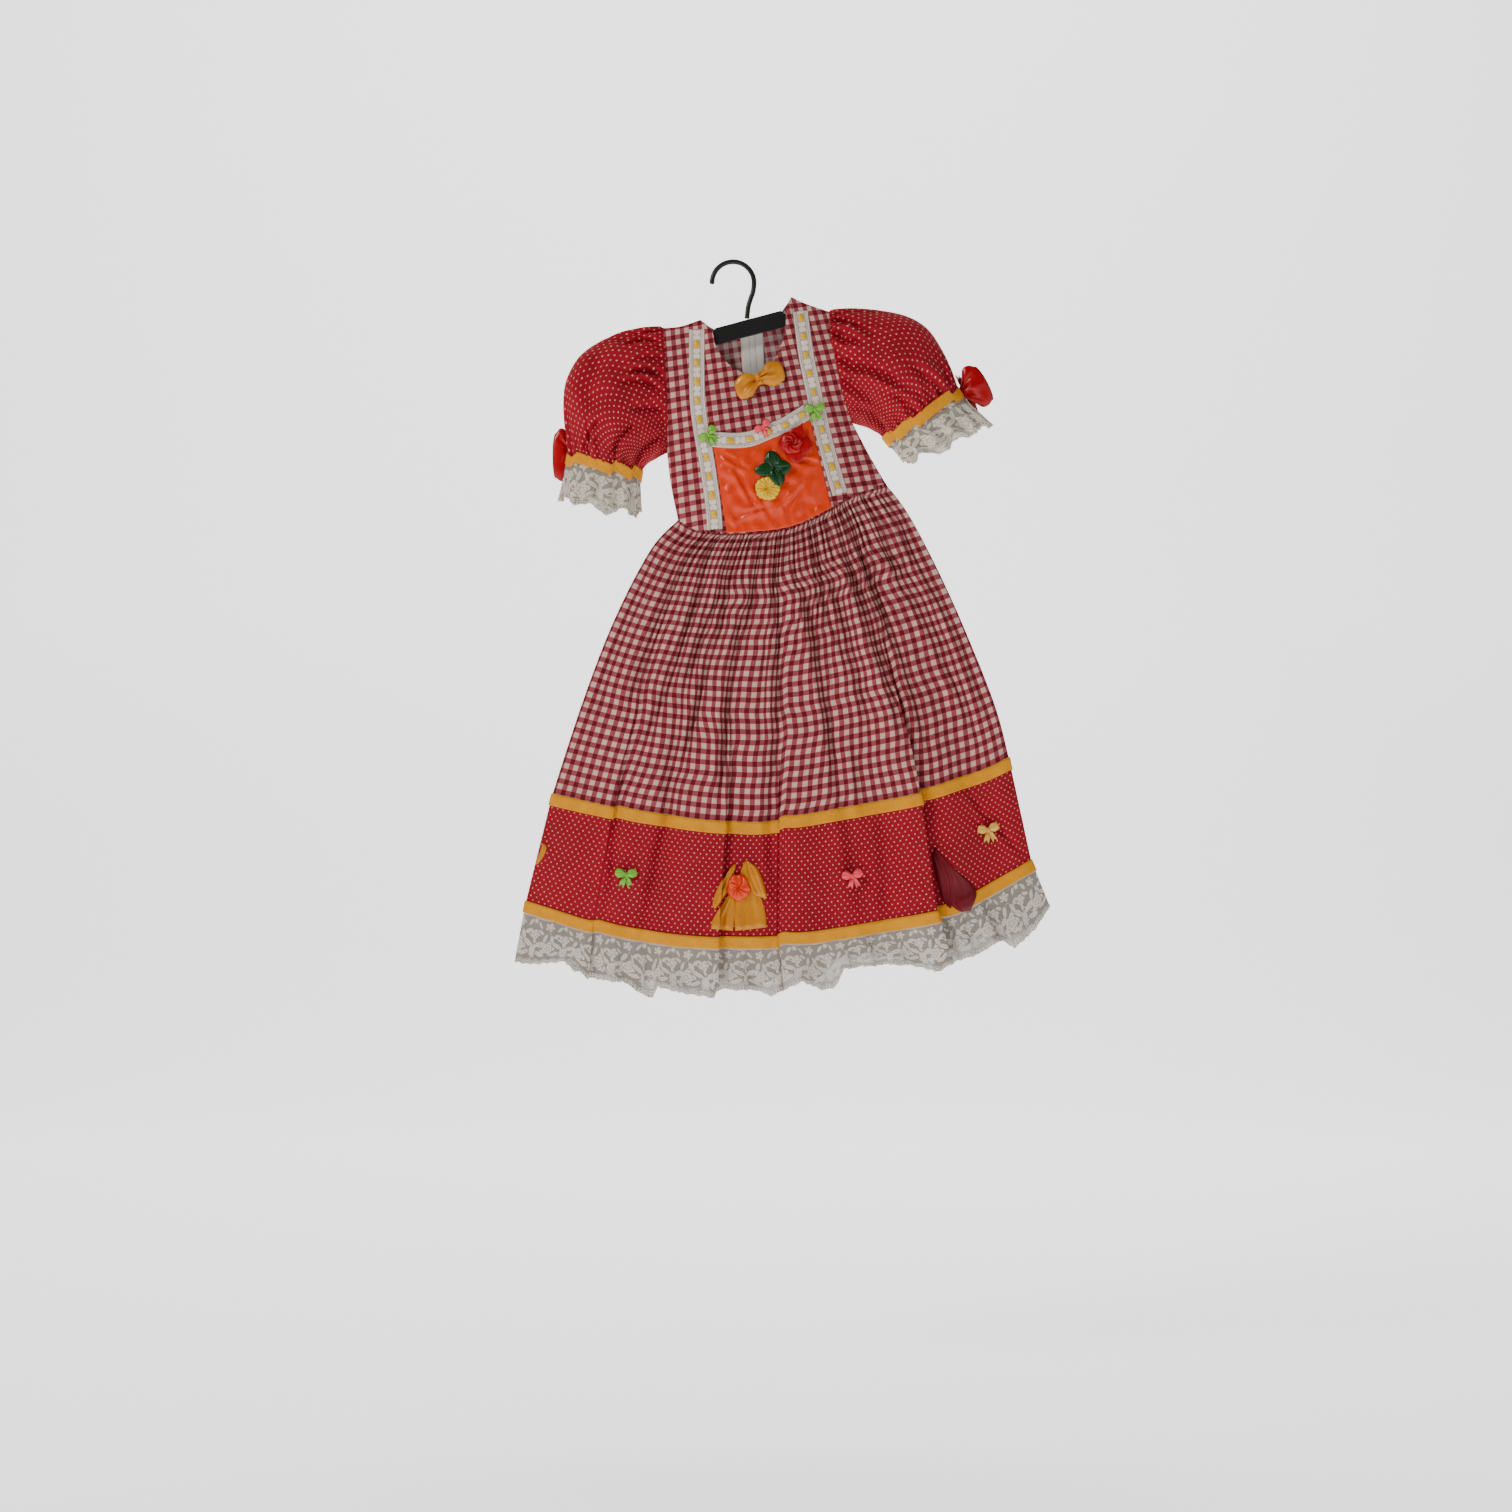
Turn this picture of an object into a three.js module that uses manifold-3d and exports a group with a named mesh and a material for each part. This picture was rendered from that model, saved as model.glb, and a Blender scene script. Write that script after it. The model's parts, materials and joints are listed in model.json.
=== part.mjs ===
// Festa junina dress for a girl, hanging on a plain hanger.
// Millimetres, +Z up, +X to the right seen from the front, front towards -Y.
// The origin is the inner top of the hanger's hook, where a rail or peg carries it.
import * as THREE from 'three';
import { mergeVertices } from 'three/addons/utils/BufferGeometryUtils.js';
import Module from 'manifold-3d';

const wasm = await Module();
wasm.setup();

// ---------------------------------------------------------------- driving sizes
const GAP = 0.3; // between two pieces at a seam
const CLOTH = 1.6; // wall of a cotton panel
const TRIM = 2.2; // wall of the folded bias tape
const LACE = 1.2; // wall of the lace
const SEAM_Y = (TRIM + GAP) / 2; // a panel's middle surface at a side or shoulder seam

const WAIST_DEPTH = 19; // half depth of the body at the waist
const HEM_DEPTH = 36; // half depth of the skirt at the lower tape
const CHEST_DEPTH = 6; // extra fullness halfway up the bodice
const ARMHOLE_DEPTH = 10; // half opening of the armhole
const FRONT_NECK_DEPTH = 13; // the neckline stands off the shoulder line
const BACK_NECK_DEPTH = 9;
const ZIP_SLOT = 4; // between the two back halves

const GATHERS = 34; // gathers at the waist of each skirt panel
const GATHER_HEIGHT = 2.0;
const GATHER_END = 0.45; // where they have run out, as a part of the skirt's height
const TAPE = 12; // bias tape round the hem band
const RUFFLE = 4; // waves of the lace hem
const BACK_HEM_RISE = 6; // the back hangs a little shorter

const BODICE_COLUMNS = 20;
const SIDE_ROWS = 4; // rows of the bodice below the armhole
const ROUND = 24; // points round a sleeve, half of them down each side of the armhole

// ---------------------------------------------------------------- outlines
// Seen from the front. Rows run from the left across, or along a side from its lower end up;
// the skirt's sides run from the waist down.
const WAIST = [
  { x: -67, z: -312 },
  { x: -46, z: -325 },
  { x: -12, z: -330 },
  { x: 24, z: -329 },
  { x: 55, z: -326 },
  { x: 81, z: -319 },
  { x: 121, z: -299 },
  { x: 142, z: -285 },
  { x: 187, z: -269 },
];
const UPPER_TAPE = [
  { x: -221, z: -648 },
  { x: -142, z: -665 },
  { x: -89, z: -673 },
  { x: -22, z: -681 },
  { x: 46, z: -682 },
  { x: 140, z: -665 },
  { x: 226, z: -648 },
  { x: 272, z: -632 },
  { x: 307, z: -620 },
  { x: 337, z: -605 },
];
const LOWER_TAPE = [
  { x: -253, z: -778 },
  { x: -215, z: -789 },
  { x: -175, z: -801 },
  { x: -101, z: -814 },
  { x: -28, z: -820 },
  { x: 68, z: -819 },
  { x: 150, z: -807 },
  { x: 251, z: -788 },
  { x: 295, z: -768 },
  { x: 364, z: -729 },
];
const LACE_HEM = [
  { x: -267, z: -851 },
  { x: -220, z: -860 },
  { x: -178, z: -871 },
  { x: -98, z: -888 },
  { x: -20, z: -889 },
  { x: 46, z: -891 },
  { x: 124, z: -880 },
  { x: 177, z: -864 },
  { x: 261, z: -853 },
  { x: 323, z: -833 },
  { x: 387, z: -783 },
];
const SKIRT_LEFT = [
  { x: -67, z: -312 },
  { x: -101, z: -349 },
  { x: -145, z: -434 },
  { x: -183, z: -532 },
  { x: -221, z: -648 },
];
const SKIRT_RIGHT = [
  { x: 187, z: -269 },
  { x: 218, z: -312 },
  { x: 267, z: -410 },
  { x: 317, z: -532 },
  { x: 337, z: -605 },
];
const SIDE_LEFT = [
  { x: -67, z: -312 },
  { x: -76, z: -268 },
  { x: -80.5, z: -229 },
];
const SIDE_RIGHT = [
  { x: 187, z: -269 },
  { x: 165, z: -231 },
  { x: 145, z: -192.5 },
];
const ARMHOLE_LEFT = [
  { x: -80.5, z: -229 },
  { x: -80, z: -190 },
  { x: -82, z: -125 },
  { x: -85, z: -78 },
];
const ARMHOLE_RIGHT = [
  { x: 145, z: -192.5 },
  { x: 134, z: -160 },
  { x: 123, z: -110 },
  { x: 117, z: -58 },
];
const SHOULDER_LEFT = [
  { x: -85, z: -78 },
  { x: -64, z: -76 },
  { x: -40, z: -68 },
];
const SHOULDER_RIGHT = [
  { x: 71, z: -40 },
  { x: 88, z: -48 },
  { x: 117, z: -58 },
];
const NECK_FRONT = [
  { x: -40, z: -68 },
  { x: -26, z: -82 },
  { x: -20, z: -104 },
  { x: -6, z: -123 },
  { x: 14, z: -135 },
  { x: 30, z: -137 },
  { x: 46, z: -126 },
  { x: 58, z: -104 },
  { x: 64, z: -80 },
  { x: 65, z: -58 },
  { x: 71, z: -40 },
];
const NECK_BACK = [
  { x: -40, z: -68 },
  { x: -26, z: -77 },
  { x: -4, z: -85 },
  { x: 20, z: -85 },
  { x: 48, z: -71 },
  { x: 63, z: -52 },
  { x: 71, z: -40 },
];
const SHOULDER_SHARE = 0.2; // part of the bodice's columns that end on each shoulder

// Soft troughs of the skirt: where each starts at the waist and ends at the hem, as a part
// of the width, how far it sinks and how wide it is.
const FRONT_TROUGHS = [
  { waist: 0.2, hem: 0.13, sinks: 9, width: 0.045 },
  { waist: 0.3, hem: 0.235, sinks: 10, width: 0.04 },
  { waist: 0.46, hem: 0.47, sinks: 7, width: 0.035 },
  { waist: 0.54, hem: 0.585, sinks: 6, width: 0.035 },
  { waist: 0.62, hem: 0.685, sinks: 9, width: 0.04 },
  { waist: 0.83, hem: 0.915, sinks: 9, width: 0.035 },
];
const BACK_TROUGHS = [
  { waist: 0.16, hem: 0.11, sinks: 8, width: 0.04 },
  { waist: 0.27, hem: 0.2, sinks: 7, width: 0.035 },
  { waist: 0.42, hem: 0.41, sinks: 10, width: 0.045 },
  { waist: 0.58, hem: 0.59, sinks: 7, width: 0.04 },
  { waist: 0.73, hem: 0.79, sinks: 9, width: 0.04 },
  { waist: 0.86, hem: 0.92, sinks: 6, width: 0.035 },
];
// Folds that lie over the cloth beside them: the crest is that of the named gather, and it
// leans towards the next one by the overlap, while the cloth under it hangs shorter.
const FRONT_TUCKS = [
  { gather: 12, overlap: 12, stands: 5, shorter: 1 },
  { gather: 26, overlap: 20, stands: 7, shorter: 6 },
];
const BACK_TUCKS = [
  { gather: 9, overlap: 12, stands: 5, shorter: 2 },
  { gather: 21, overlap: 15, stands: 6, shorter: 3 },
];

// Sleeve sections from the armhole to the cuff: the top and bottom of each seen from the
// front, its half depth, the height of its gathers and that of its big soft folds.
const SLEEVE_LEFT = [
  { xTop: -114, zTop: -79, xBottom: -89, zBottom: -234, depth: 19, gather: 1.6, fold: 0 },
  { xTop: -148, zTop: -88, xBottom: -95, zBottom: -238, depth: 25, gather: 0.8, fold: 2 },
  { xTop: -181, zTop: -107, xBottom: -101, zBottom: -241, depth: 29, gather: 0, fold: 4 },
  { xTop: -202, zTop: -138, xBottom: -105, zBottom: -244, depth: 30, gather: 0, fold: 4 },
  { xTop: -207, zTop: -172, xBottom: -107.5, zBottom: -246.5, depth: 29, gather: 0, fold: 3 },
  { xTop: -204, zTop: -205, xBottom: -110, zBottom: -249, depth: 26, gather: 1, fold: 2 },
  { xTop: -201, zTop: -233, xBottom: -112, zBottom: -252.5, depth: 22, gather: 1.8, fold: 0 },
];
const SLEEVE_RIGHT = [
  { xTop: 143, zTop: -55, xBottom: 151.5, zBottom: -195, depth: 19, gather: 1.6, fold: 0 },
  { xTop: 179, zTop: -57, xBottom: 159, zBottom: -197.5, depth: 25, gather: 0.8, fold: 2 },
  { xTop: 213, zTop: -64, xBottom: 166, zBottom: -200, depth: 29, gather: 0, fold: 4 },
  { xTop: 238, zTop: -80, xBottom: 172, zBottom: -203.5, depth: 30, gather: 0, fold: 4 },
  { xTop: 255, zTop: -105, xBottom: 177, zBottom: -206, depth: 29, gather: 0, fold: 3 },
  { xTop: 266, zTop: -129, xBottom: 180.5, zBottom: -208.5, depth: 26, gather: 1, fold: 2 },
  { xTop: 273, zTop: -153.5, xBottom: 184, zBottom: -211, depth: 22, gather: 1.8, fold: 0 },
];
const CUFF_LEFT = [
  { xTop: -203, zTop: -244, xBottom: -114, zBottom: -264, depth: 22, gather: 1.4, fold: 0 },
  { xTop: -206, zTop: -265, xBottom: -115, zBottom: -285, depth: 25, gather: 2.5, fold: 0 },
  { xTop: -210, zTop: -287, xBottom: -116, zBottom: -306, depth: 28, gather: 4, fold: 0 },
];
const CUFF_RIGHT = [
  { xTop: 279.5, zTop: -163, xBottom: 191.5, zBottom: -220.5, depth: 22, gather: 1.4, fold: 0 },
  { xTop: 296, zTop: -180, xBottom: 203, zBottom: -231, depth: 25, gather: 2.5, fold: 0 },
  { xTop: 313, zTop: -197, xBottom: 214, zBottom: -242, depth: 28, gather: 4, fold: 0 },
];

// ---------------------------------------------------------------- finishes
function finish(color, roughness = 0.85) {
  return new THREE.MeshStandardMaterial({ color, roughness, metalness: 0 });
}
const red = finish('#a8182d');
const gingham = finish('#b2626c');
const yellow = finish('#dc9114');
const orange = finish('#c8401a', 0.5);
const white = finish('#e3ddd2');
const green = finish('#3c7a36', 0.6);
const paleGreen = finish('#9cb46c', 0.6);
const pink = finish('#d6497f', 0.6);
const cream = finish('#e6d79a', 0.6);
const wine = finish('#8d1420', 0.45);
const black = finish('#22211f', 0.45);
const steel = new THREE.MeshStandardMaterial({ color: '#3a3936', roughness: 0.35, metalness: 0.9 });
const metal = new THREE.MeshStandardMaterial({ color: '#c9c9c6', roughness: 0.3, metalness: 1 });

const dress = new THREE.Group();
function piece(name, geometry, material) {
  const mesh = new THREE.Mesh(geometry, material);
  mesh.name = name;
  dress.add(mesh);
  return mesh;
}

// ---------------------------------------------------------------- helpers
const mix = (a, b, t) => a + (b - a) * t;
const clamp01 = (t) => Math.min(1, Math.max(0, t));
const bump = (t) => (Math.abs(t) < 1 ? Math.cos((t * Math.PI) / 2) ** 2 : 0);
const lens = (s) => 1 - Math.abs(2 * s - 1) ** 3; // flat body with a crease at each side

// A smooth curve through the rows of a table, read by its length from 0 to 1.
function outline(rows) {
  const curve = new THREE.SplineCurve(rows.map((row) => new THREE.Vector2(row.x, row.z)));
  return (t) => curve.getPointAt(clamp01(t));
}

// The same as straight steps, so that two pieces with different columns share one seam.
function stepped(curve, steps) {
  const points = Array.from({ length: steps + 1 }, (_, i) => curve(i / steps));
  return (t) => {
    const at = clamp01(t) * steps;
    const i = Math.min(steps - 1, Math.floor(at));
    return points[i].clone().lerp(points[i + 1], at - i);
  };
}

// Four edges filled: lower and upper run across, left and right run from lower to upper.
function fill(lower, upper, left, right, u, v, rise) {
  const down = lower(u).clone().multiplyScalar(1 - rise);
  const across = left(v).clone().multiplyScalar(1 - u).addScaledVector(right(v), u);
  const corners = lower(0).clone().multiplyScalar((1 - u) * (1 - rise));
  corners.addScaledVector(lower(1), u * (1 - rise));
  corners.addScaledVector(upper(0), (1 - u) * rise);
  corners.addScaledVector(upper(1), u * rise);
  return down.addScaledVector(upper(u), rise).add(across).sub(corners);
}

// Rows and columns of middle-surface points become a closed wall of the given thickness.
// A ring's rows close on themselves. The ends stay level, so a seam below keeps its gap.
function wall(rows, thickness, ring = false) {
  const columns = rows[0].length;
  const size = rows.length * columns;
  const positions = new Float32Array(size * 6);
  const faces = [];
  rows.forEach((row, r) => {
    const above = rows[Math.max(0, r - 1)];
    const below = rows[Math.min(rows.length - 1, r + 1)];
    const plane = ring ? ringAxis(row) : null;
    row.forEach((here, c) => {
      const down = plane ?? below[c].clone().sub(above[c]);
      const before = ring ? row[(c + columns - 1) % columns] : row[c - 1];
      const after = ring ? row[(c + 1) % columns] : row[c + 1];
      const sides = [];
      if (before) sides.push(down.clone().cross(here.clone().sub(before)));
      if (after) sides.push(down.clone().cross(after.clone().sub(here)));
      if (!ring) sides.forEach((side) => side.setZ(0));
      sides.forEach((side) => side.normalize());
      const normal = sides.reduce((sum, side) => sum.add(side), new THREE.Vector3()).normalize();
      const reach = thickness / 2 / Math.max(0.6, normal.dot(sides[0]));
      if (!ring) normal.setZ(normal.x * slope(here, before ?? here, after ?? here));
      const at = r * columns + c;
      here.clone().addScaledVector(normal, reach).toArray(positions, at * 3);
      here.clone().addScaledVector(normal, -reach).toArray(positions, (size + at) * 3);
    });
  });
  const quad = (a, b, c, d) => faces.push(a, b, c, a, c, d);
  for (let r = 0; r + 1 < rows.length; r += 1) {
    for (let c = 0; c < (ring ? columns : columns - 1); c += 1) {
      const a = r * columns + c;
      const b = r * columns + ((c + 1) % columns);
      quad(a, a + columns, b + columns, b);
      quad(size + a, size + b, size + b + columns, size + a + columns);
      if (r === 0) quad(a, b, size + b, size + a);
      if (r + 2 === rows.length) {
        quad(b + columns, a + columns, size + a + columns, size + b + columns);
      }
    }
    if (!ring) {
      const first = r * columns;
      const last = first + columns - 1;
      quad(first + columns, first, size + first, size + first + columns);
      quad(last, last + columns, size + last + columns, size + last);
    }
  }
  const geometry = new THREE.BufferGeometry();
  geometry.setAttribute('position', new THREE.BufferAttribute(positions, 3));
  geometry.setIndex(faces);
  return geometry;
}

// How steeply a row runs, so that the faces of a wall's edge stay in line along it.
function slope(here, before, after) {
  const far = Math.abs(before.x - here.x) > Math.abs(after.x - here.x) ? before : after;
  const run = far.x - here.x;
  return Math.abs(run) < 1 ? 0 : THREE.MathUtils.clamp((far.z - here.z) / run, -0.6, 0.6);
}

// The direction along a tube at one of its rings.
function ringAxis(row) {
  const centre = row.reduce((sum, p) => sum.add(p), new THREE.Vector3()).divideScalar(row.length);
  const axis = new THREE.Vector3();
  row.forEach((here, c) => {
    const next = row[(c + 1) % row.length];
    axis.add(here.clone().sub(centre).cross(next.clone().sub(centre)));
  });
  return axis.normalize();
}

function grid(rowValues, columnValues, pointAt) {
  return rowValues.map((v) => columnValues.map((u) => pointAt(u, v)));
}

function range(from, to, steps) {
  return Array.from({ length: steps + 1 }, (_, i) => mix(from, to, i / steps));
}

// Where a grid's surface lies in depth at a place seen from the front. Where it folds over
// itself, the outer layer counts. side is -1 on the front and 1 on the back.
function depthAt(surface, x, z, side) {
  let found = null;
  const tri = new THREE.Triangle();
  const flat = new THREE.Vector3(x, 0, z);
  const weights = new THREE.Vector3();
  const test = (a, b, c) => {
    tri.set(a.clone().setY(0), b.clone().setY(0), c.clone().setY(0));
    if (!tri.getBarycoord(flat, weights)) return;
    if (Math.min(weights.x, weights.y, weights.z) < -1e-6) return;
    const y = a.y * weights.x + b.y * weights.y + c.y * weights.z;
    if (found === null || y * side > found * side) found = y;
  };
  for (let r = 0; r + 1 < surface.length; r += 1) {
    for (let c = 0; c + 1 < surface[r].length; c += 1) {
      const [a, b] = [surface[r][c], surface[r][c + 1]];
      const [d, e] = [surface[r + 1][c], surface[r + 1][c + 1]];
      test(a, d, e);
      test(a, e, b);
    }
  }
  return found;
}

// ---------------------------------------------------------------- bodice
const waistLine = stepped(outline(WAIST), BODICE_COLUMNS);

// The upper edge: a shoulder, the neck and a shoulder, each with its share of the columns.
function upperEdge(neck) {
  const parts = [outline(SHOULDER_LEFT), outline(neck), outline(SHOULDER_RIGHT)];
  return (u) => {
    if (u < SHOULDER_SHARE) return parts[0](u / SHOULDER_SHARE);
    if (u > 1 - SHOULDER_SHARE) return parts[2]((u - 1 + SHOULDER_SHARE) / SHOULDER_SHARE);
    return parts[1]((u - SHOULDER_SHARE) / (1 - 2 * SHOULDER_SHARE));
  };
}

// A side edge is read by row: the side seam, then the armhole up to the shoulder.
const ARMHOLE_ROWS = ROUND / 2;
const BODICE_ROWS = SIDE_ROWS + ARMHOLE_ROWS;
const armholeShare = (row) => (1 - Math.cos((Math.PI * (row - SIDE_ROWS)) / ARMHOLE_ROWS)) / 2;

function sideEdge(seam, armhole) {
  const lower = outline(seam);
  const upper = outline(armhole);
  return (row) => (row < SIDE_ROWS ? lower(row / SIDE_ROWS) : upper(armholeShare(row)));
}

const leftEdge = sideEdge(SIDE_LEFT, ARMHOLE_LEFT);
const rightEdge = sideEdge(SIDE_RIGHT, ARMHOLE_RIGHT);

function riseOf(row) {
  const share = (edge) => (edge(row).y - edge(0).y) / (edge(BODICE_ROWS).y - edge(0).y);
  return (share(leftEdge) + share(rightEdge)) / 2;
}

const armholeOpening = (row) => {
  return row > SIDE_ROWS ? ARMHOLE_DEPTH * Math.sin(Math.PI * armholeShare(row)) : 0;
};

function bodicePoint(side, u, row) {
  const neck = side < 0 ? NECK_FRONT : NECK_BACK;
  const rise = riseOf(row);
  const flat = fill(waistLine, upperEdge(neck), leftEdge, rightEdge, u, row, rise);
  const neckShare = clamp01((u - SHOULDER_SHARE) / (1 - 2 * SHOULDER_SHARE));
  const neckDepth = side < 0 ? FRONT_NECK_DEPTH : BACK_NECK_DEPTH;
  let depth = SEAM_Y + armholeOpening(row) * (2 * u - 1) ** 2;
  depth += (1 - rise) * WAIST_DEPTH * lens(u);
  depth += rise * neckDepth * Math.sqrt(Math.sin(Math.PI * neckShare));
  depth += CHEST_DEPTH * lens(u) * Math.sin(Math.PI * rise);
  return new THREE.Vector3(flat.x, side * depth, flat.y);
}

const bodiceRows = range(BODICE_ROWS, 0, BODICE_ROWS);
const bodiceColumns = range(0, 1, BODICE_COLUMNS);
const bodiceFront = grid(bodiceRows, bodiceColumns, (u, row) => bodicePoint(-1, u, row));
piece('bodice_front', wall(bodiceFront, CLOTH), gingham);

// The back opens down its middle for the zip.
const slot = ZIP_SLOT / 2 / (WAIST[WAIST.length - 1].x - WAIST[0].x);
const half = BODICE_COLUMNS / 2;
const backLeft = grid(bodiceRows, range(0, 0.5 - slot, half), (u, row) => bodicePoint(1, u, row));
const backRight = grid(bodiceRows, range(0.5 + slot, 1, half), (u, row) => bodicePoint(1, u, row));
piece('bodice_back_left', wall(backLeft, CLOTH), gingham);
piece('bodice_back_right', wall(backRight, CLOTH), gingham);

// ---------------------------------------------------------------- skirt
// Levels down the skirt: 0 the waist, 1 the upper tape, 2 the lower tape, 3 the lace's edge.
const levels = [outline(UPPER_TAPE), outline(LOWER_TAPE), outline(LACE_HEM)];
const skirtLeft = outline(SKIRT_LEFT);
const skirtRight = outline(SKIRT_RIGHT);

function skirtOutline(s, level) {
  if (level <= 1) {
    return fill(waistLine, levels[0], skirtLeft, skirtRight, s, level, level);
  }
  const upper = levels[level <= 2 ? 0 : 1](s);
  const lower = levels[level <= 2 ? 1 : 2](s);
  return upper.lerp(lower, level <= 2 ? level - 1 : level - 2);
}

const COLUMNS = 2 * GATHERS;
const TUCK_SPREAD = 1.2; // gathers over which a tuck's pull dies away
const HEM_WIDTH = LOWER_TAPE[LOWER_TAPE.length - 1].x - LOWER_TAPE[0].x;

// Columns of the waist gathers alternate in and out. Below them only every other column
// bends and the rest lie halfway between, so that the band can do without them.
function skirtPoint(side, column, level) {
  if (column % 2 === 1 && level >= GATHER_END) {
    return skirtPoint(side, column - 1, level).lerp(skirtPoint(side, column + 1, level), 0.5);
  }
  const s = column / COLUMNS;
  const grown = clamp01(level);
  const edge = Math.min(1, 8 * Math.min(s, 1 - s));
  let depth = mix(WAIST_DEPTH, HEM_DEPTH, Math.min(1, level / 2)) * lens(s);
  const troughs = side < 0 ? FRONT_TROUGHS : BACK_TROUGHS;
  troughs.forEach(({ waist, hem, sinks, width }) => {
    depth -= sinks * grown * bump((s - mix(waist, hem, grown)) / (2 * width));
  });
  const tucks = side < 0 ? FRONT_TUCKS : BACK_TUCKS;
  let shift = 0;
  let lift = 0;
  tucks.forEach(({ gather, overlap, stands, shorter }) => {
    const away = column / 2 - gather - 0.5;
    const pull = grown ** 1.5 * Math.exp((0.5 - Math.abs(away)) / TUCK_SPREAD);
    shift -= Math.sign(away) * (overlap / HEM_WIDTH + 1 / GATHERS) * 0.5 * pull;
    depth -= Math.sign(away) * stands * pull;
    lift += away > 1 ? (shorter * grown) / away : 0;
  });
  const flat = skirtOutline(s + shift, level);
  flat.y += lift;
  const gather = GATHER_HEIGHT * clamp01(1 - level / GATHER_END) * edge;
  depth += column % 2 === 0 ? gather : -gather;
  if (level > 2) depth += RUFFLE * edge * (level - 2) * (column % 4 === 0 ? 1 : -1);
  if (side > 0) flat.y += (BACK_HEM_RISE * level) / 3;
  return new THREE.Vector3(flat.x, side * (SEAM_Y + Math.max(0, depth)), flat.y);
}

// The level that lies so many millimetres below another one on a column.
function below(side, column, level, distance) {
  const step = 0.01;
  const length = skirtPoint(side, column, level).distanceTo(skirtPoint(side, column, level + step));
  return level + (distance / length) * step;
}

const skirtLevels = [0, 0.05, 0.15, 0.45, 0.72, 1];
const everyColumn = range(0, COLUMNS, COLUMNS);
const evenColumns = range(0, COLUMNS, GATHERS);

// A strip of the skirt from a distance below one level to a distance below another.
function skirtStrip(side, columns, from, to, steps) {
  return grid(range(0, 1, steps), columns, (column, t) => {
    const top = below(side, column, from.level, from.down);
    const bottom = below(side, column, to.level, to.down);
    return skirtPoint(side, column, mix(top, bottom, t));
  });
}

const skirtStrips = [
  { kind: 'tape_upper', from: { level: 1, down: GAP }, to: { level: 1, down: TAPE }, steps: 1 },
  { kind: 'band', from: { level: 1, down: TAPE + GAP }, to: { level: 2, down: -GAP }, steps: 2 },
  { kind: 'tape_lower', from: { level: 2, down: 0 }, to: { level: 2, down: TAPE }, steps: 1 },
  { kind: 'hem_lace', from: { level: 2, down: TAPE + GAP }, to: { level: 3, down: 0 }, steps: 2 },
];
const surfaces = {};
for (const [name, side] of [['front', -1], ['back', 1]]) {
  const skirt = grid(skirtLevels, everyColumn, (column, level) => skirtPoint(side, column, level));
  skirt[0].forEach((point) => point.setZ(point.z - 2 * GAP));
  surfaces[`skirt_${name}`] = skirt;
  piece(`skirt_${name}`, wall(skirt, CLOTH), gingham);
  skirtStrips.forEach(({ kind, from, to, steps }) => {
    const strip = skirtStrip(side, evenColumns, from, to, steps);
    surfaces[`${kind}_${name}`] = strip;
    const thickness = { band: CLOTH, hem_lace: LACE }[kind] ?? TRIM;
    const material = { band: red, hem_lace: white }[kind] ?? yellow;
    piece(`${kind}_${name}`, wall(strip, thickness), material);
  });
}

// ---------------------------------------------------------------- sleeves
const GATHER_SHRINK = 60; // a gather also draws a sleeve's ring in by its height over this

function sleeveRing(section, turn) {
  const top = new THREE.Vector3(section.xTop, 0, section.zTop);
  const bottom = new THREE.Vector3(section.xBottom, 0, section.zBottom);
  const centre = top.clone().lerp(bottom, 0.5);
  const upright = top.clone().sub(centre);
  return range(0, ROUND - 1, ROUND - 1).map((j) => {
    const angle = (2 * Math.PI * j) / ROUND;
    const wave = section.gather * (j % 2 === 0 ? 0 : -1) + section.fold * Math.cos(3 * angle + turn);
    const reach = 1 + (wave * Math.sin(angle) ** 2) / section.depth;
    const tall = Math.cos(angle) * (1 - (section.gather * (j % 2)) / GATHER_SHRINK);
    const point = centre.clone().addScaledVector(upright, tall);
    return point.setY(-section.depth * Math.sin(angle) * reach);
  });
}

// The first ring follows the armhole, clear of the bodice by the seam's gap.
function armholeRing(edge, outward) {
  return range(0, ROUND - 1, ROUND - 1).map((j) => {
    const down = j <= ARMHOLE_ROWS ? j : ROUND - j;
    const row = BODICE_ROWS - down;
    const flat = edge(row);
    const opening = down === 0 || down === ARMHOLE_ROWS ? 0 : SEAM_Y + armholeOpening(row);
    const front = j <= ARMHOLE_ROWS ? -1 : 1;
    return new THREE.Vector3(flat.x + outward * 3 * GAP, front * opening, flat.y);
  });
}

const sleeves = [
  { side: 'left', edge: leftEdge, outward: -1, sections: SLEEVE_LEFT, cuff: CUFF_LEFT },
  { side: 'right', edge: rightEdge, outward: 1, sections: SLEEVE_RIGHT, cuff: CUFF_RIGHT },
];
sleeves.forEach(({ side, edge, outward, sections, cuff }) => {
  const rings = [armholeRing(edge, outward), ...sections.map((row, i) => sleeveRing(row, i * 0.5))];
  const orient = (list) => (outward > 0 ? list : list.map((ring) => [...ring].reverse()));
  piece(`sleeve_${side}`, wall(orient(rings), CLOTH, true), red);
  const last = rings[rings.length - 1];
  const [tapeEnd, laceMiddle, laceEnd] = cuff.map((row) => sleeveRing(row, 0));
  const seam = ringAxis(last);
  seam.multiplyScalar(GAP * Math.sign(seam.dot(laceEnd[0].clone().sub(last[0]))));
  const shifted = (ring) => ring.map((point) => point.clone().add(seam));
  piece(`cuff_tape_${side}`, wall(orient([shifted(last), tapeEnd]), CLOTH, true), yellow);
  const lace = [shifted(tapeEnd), laceMiddle, laceEnd];
  piece(`cuff_lace_${side}`, wall(orient(lace), LACE, true), white);
});

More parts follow.
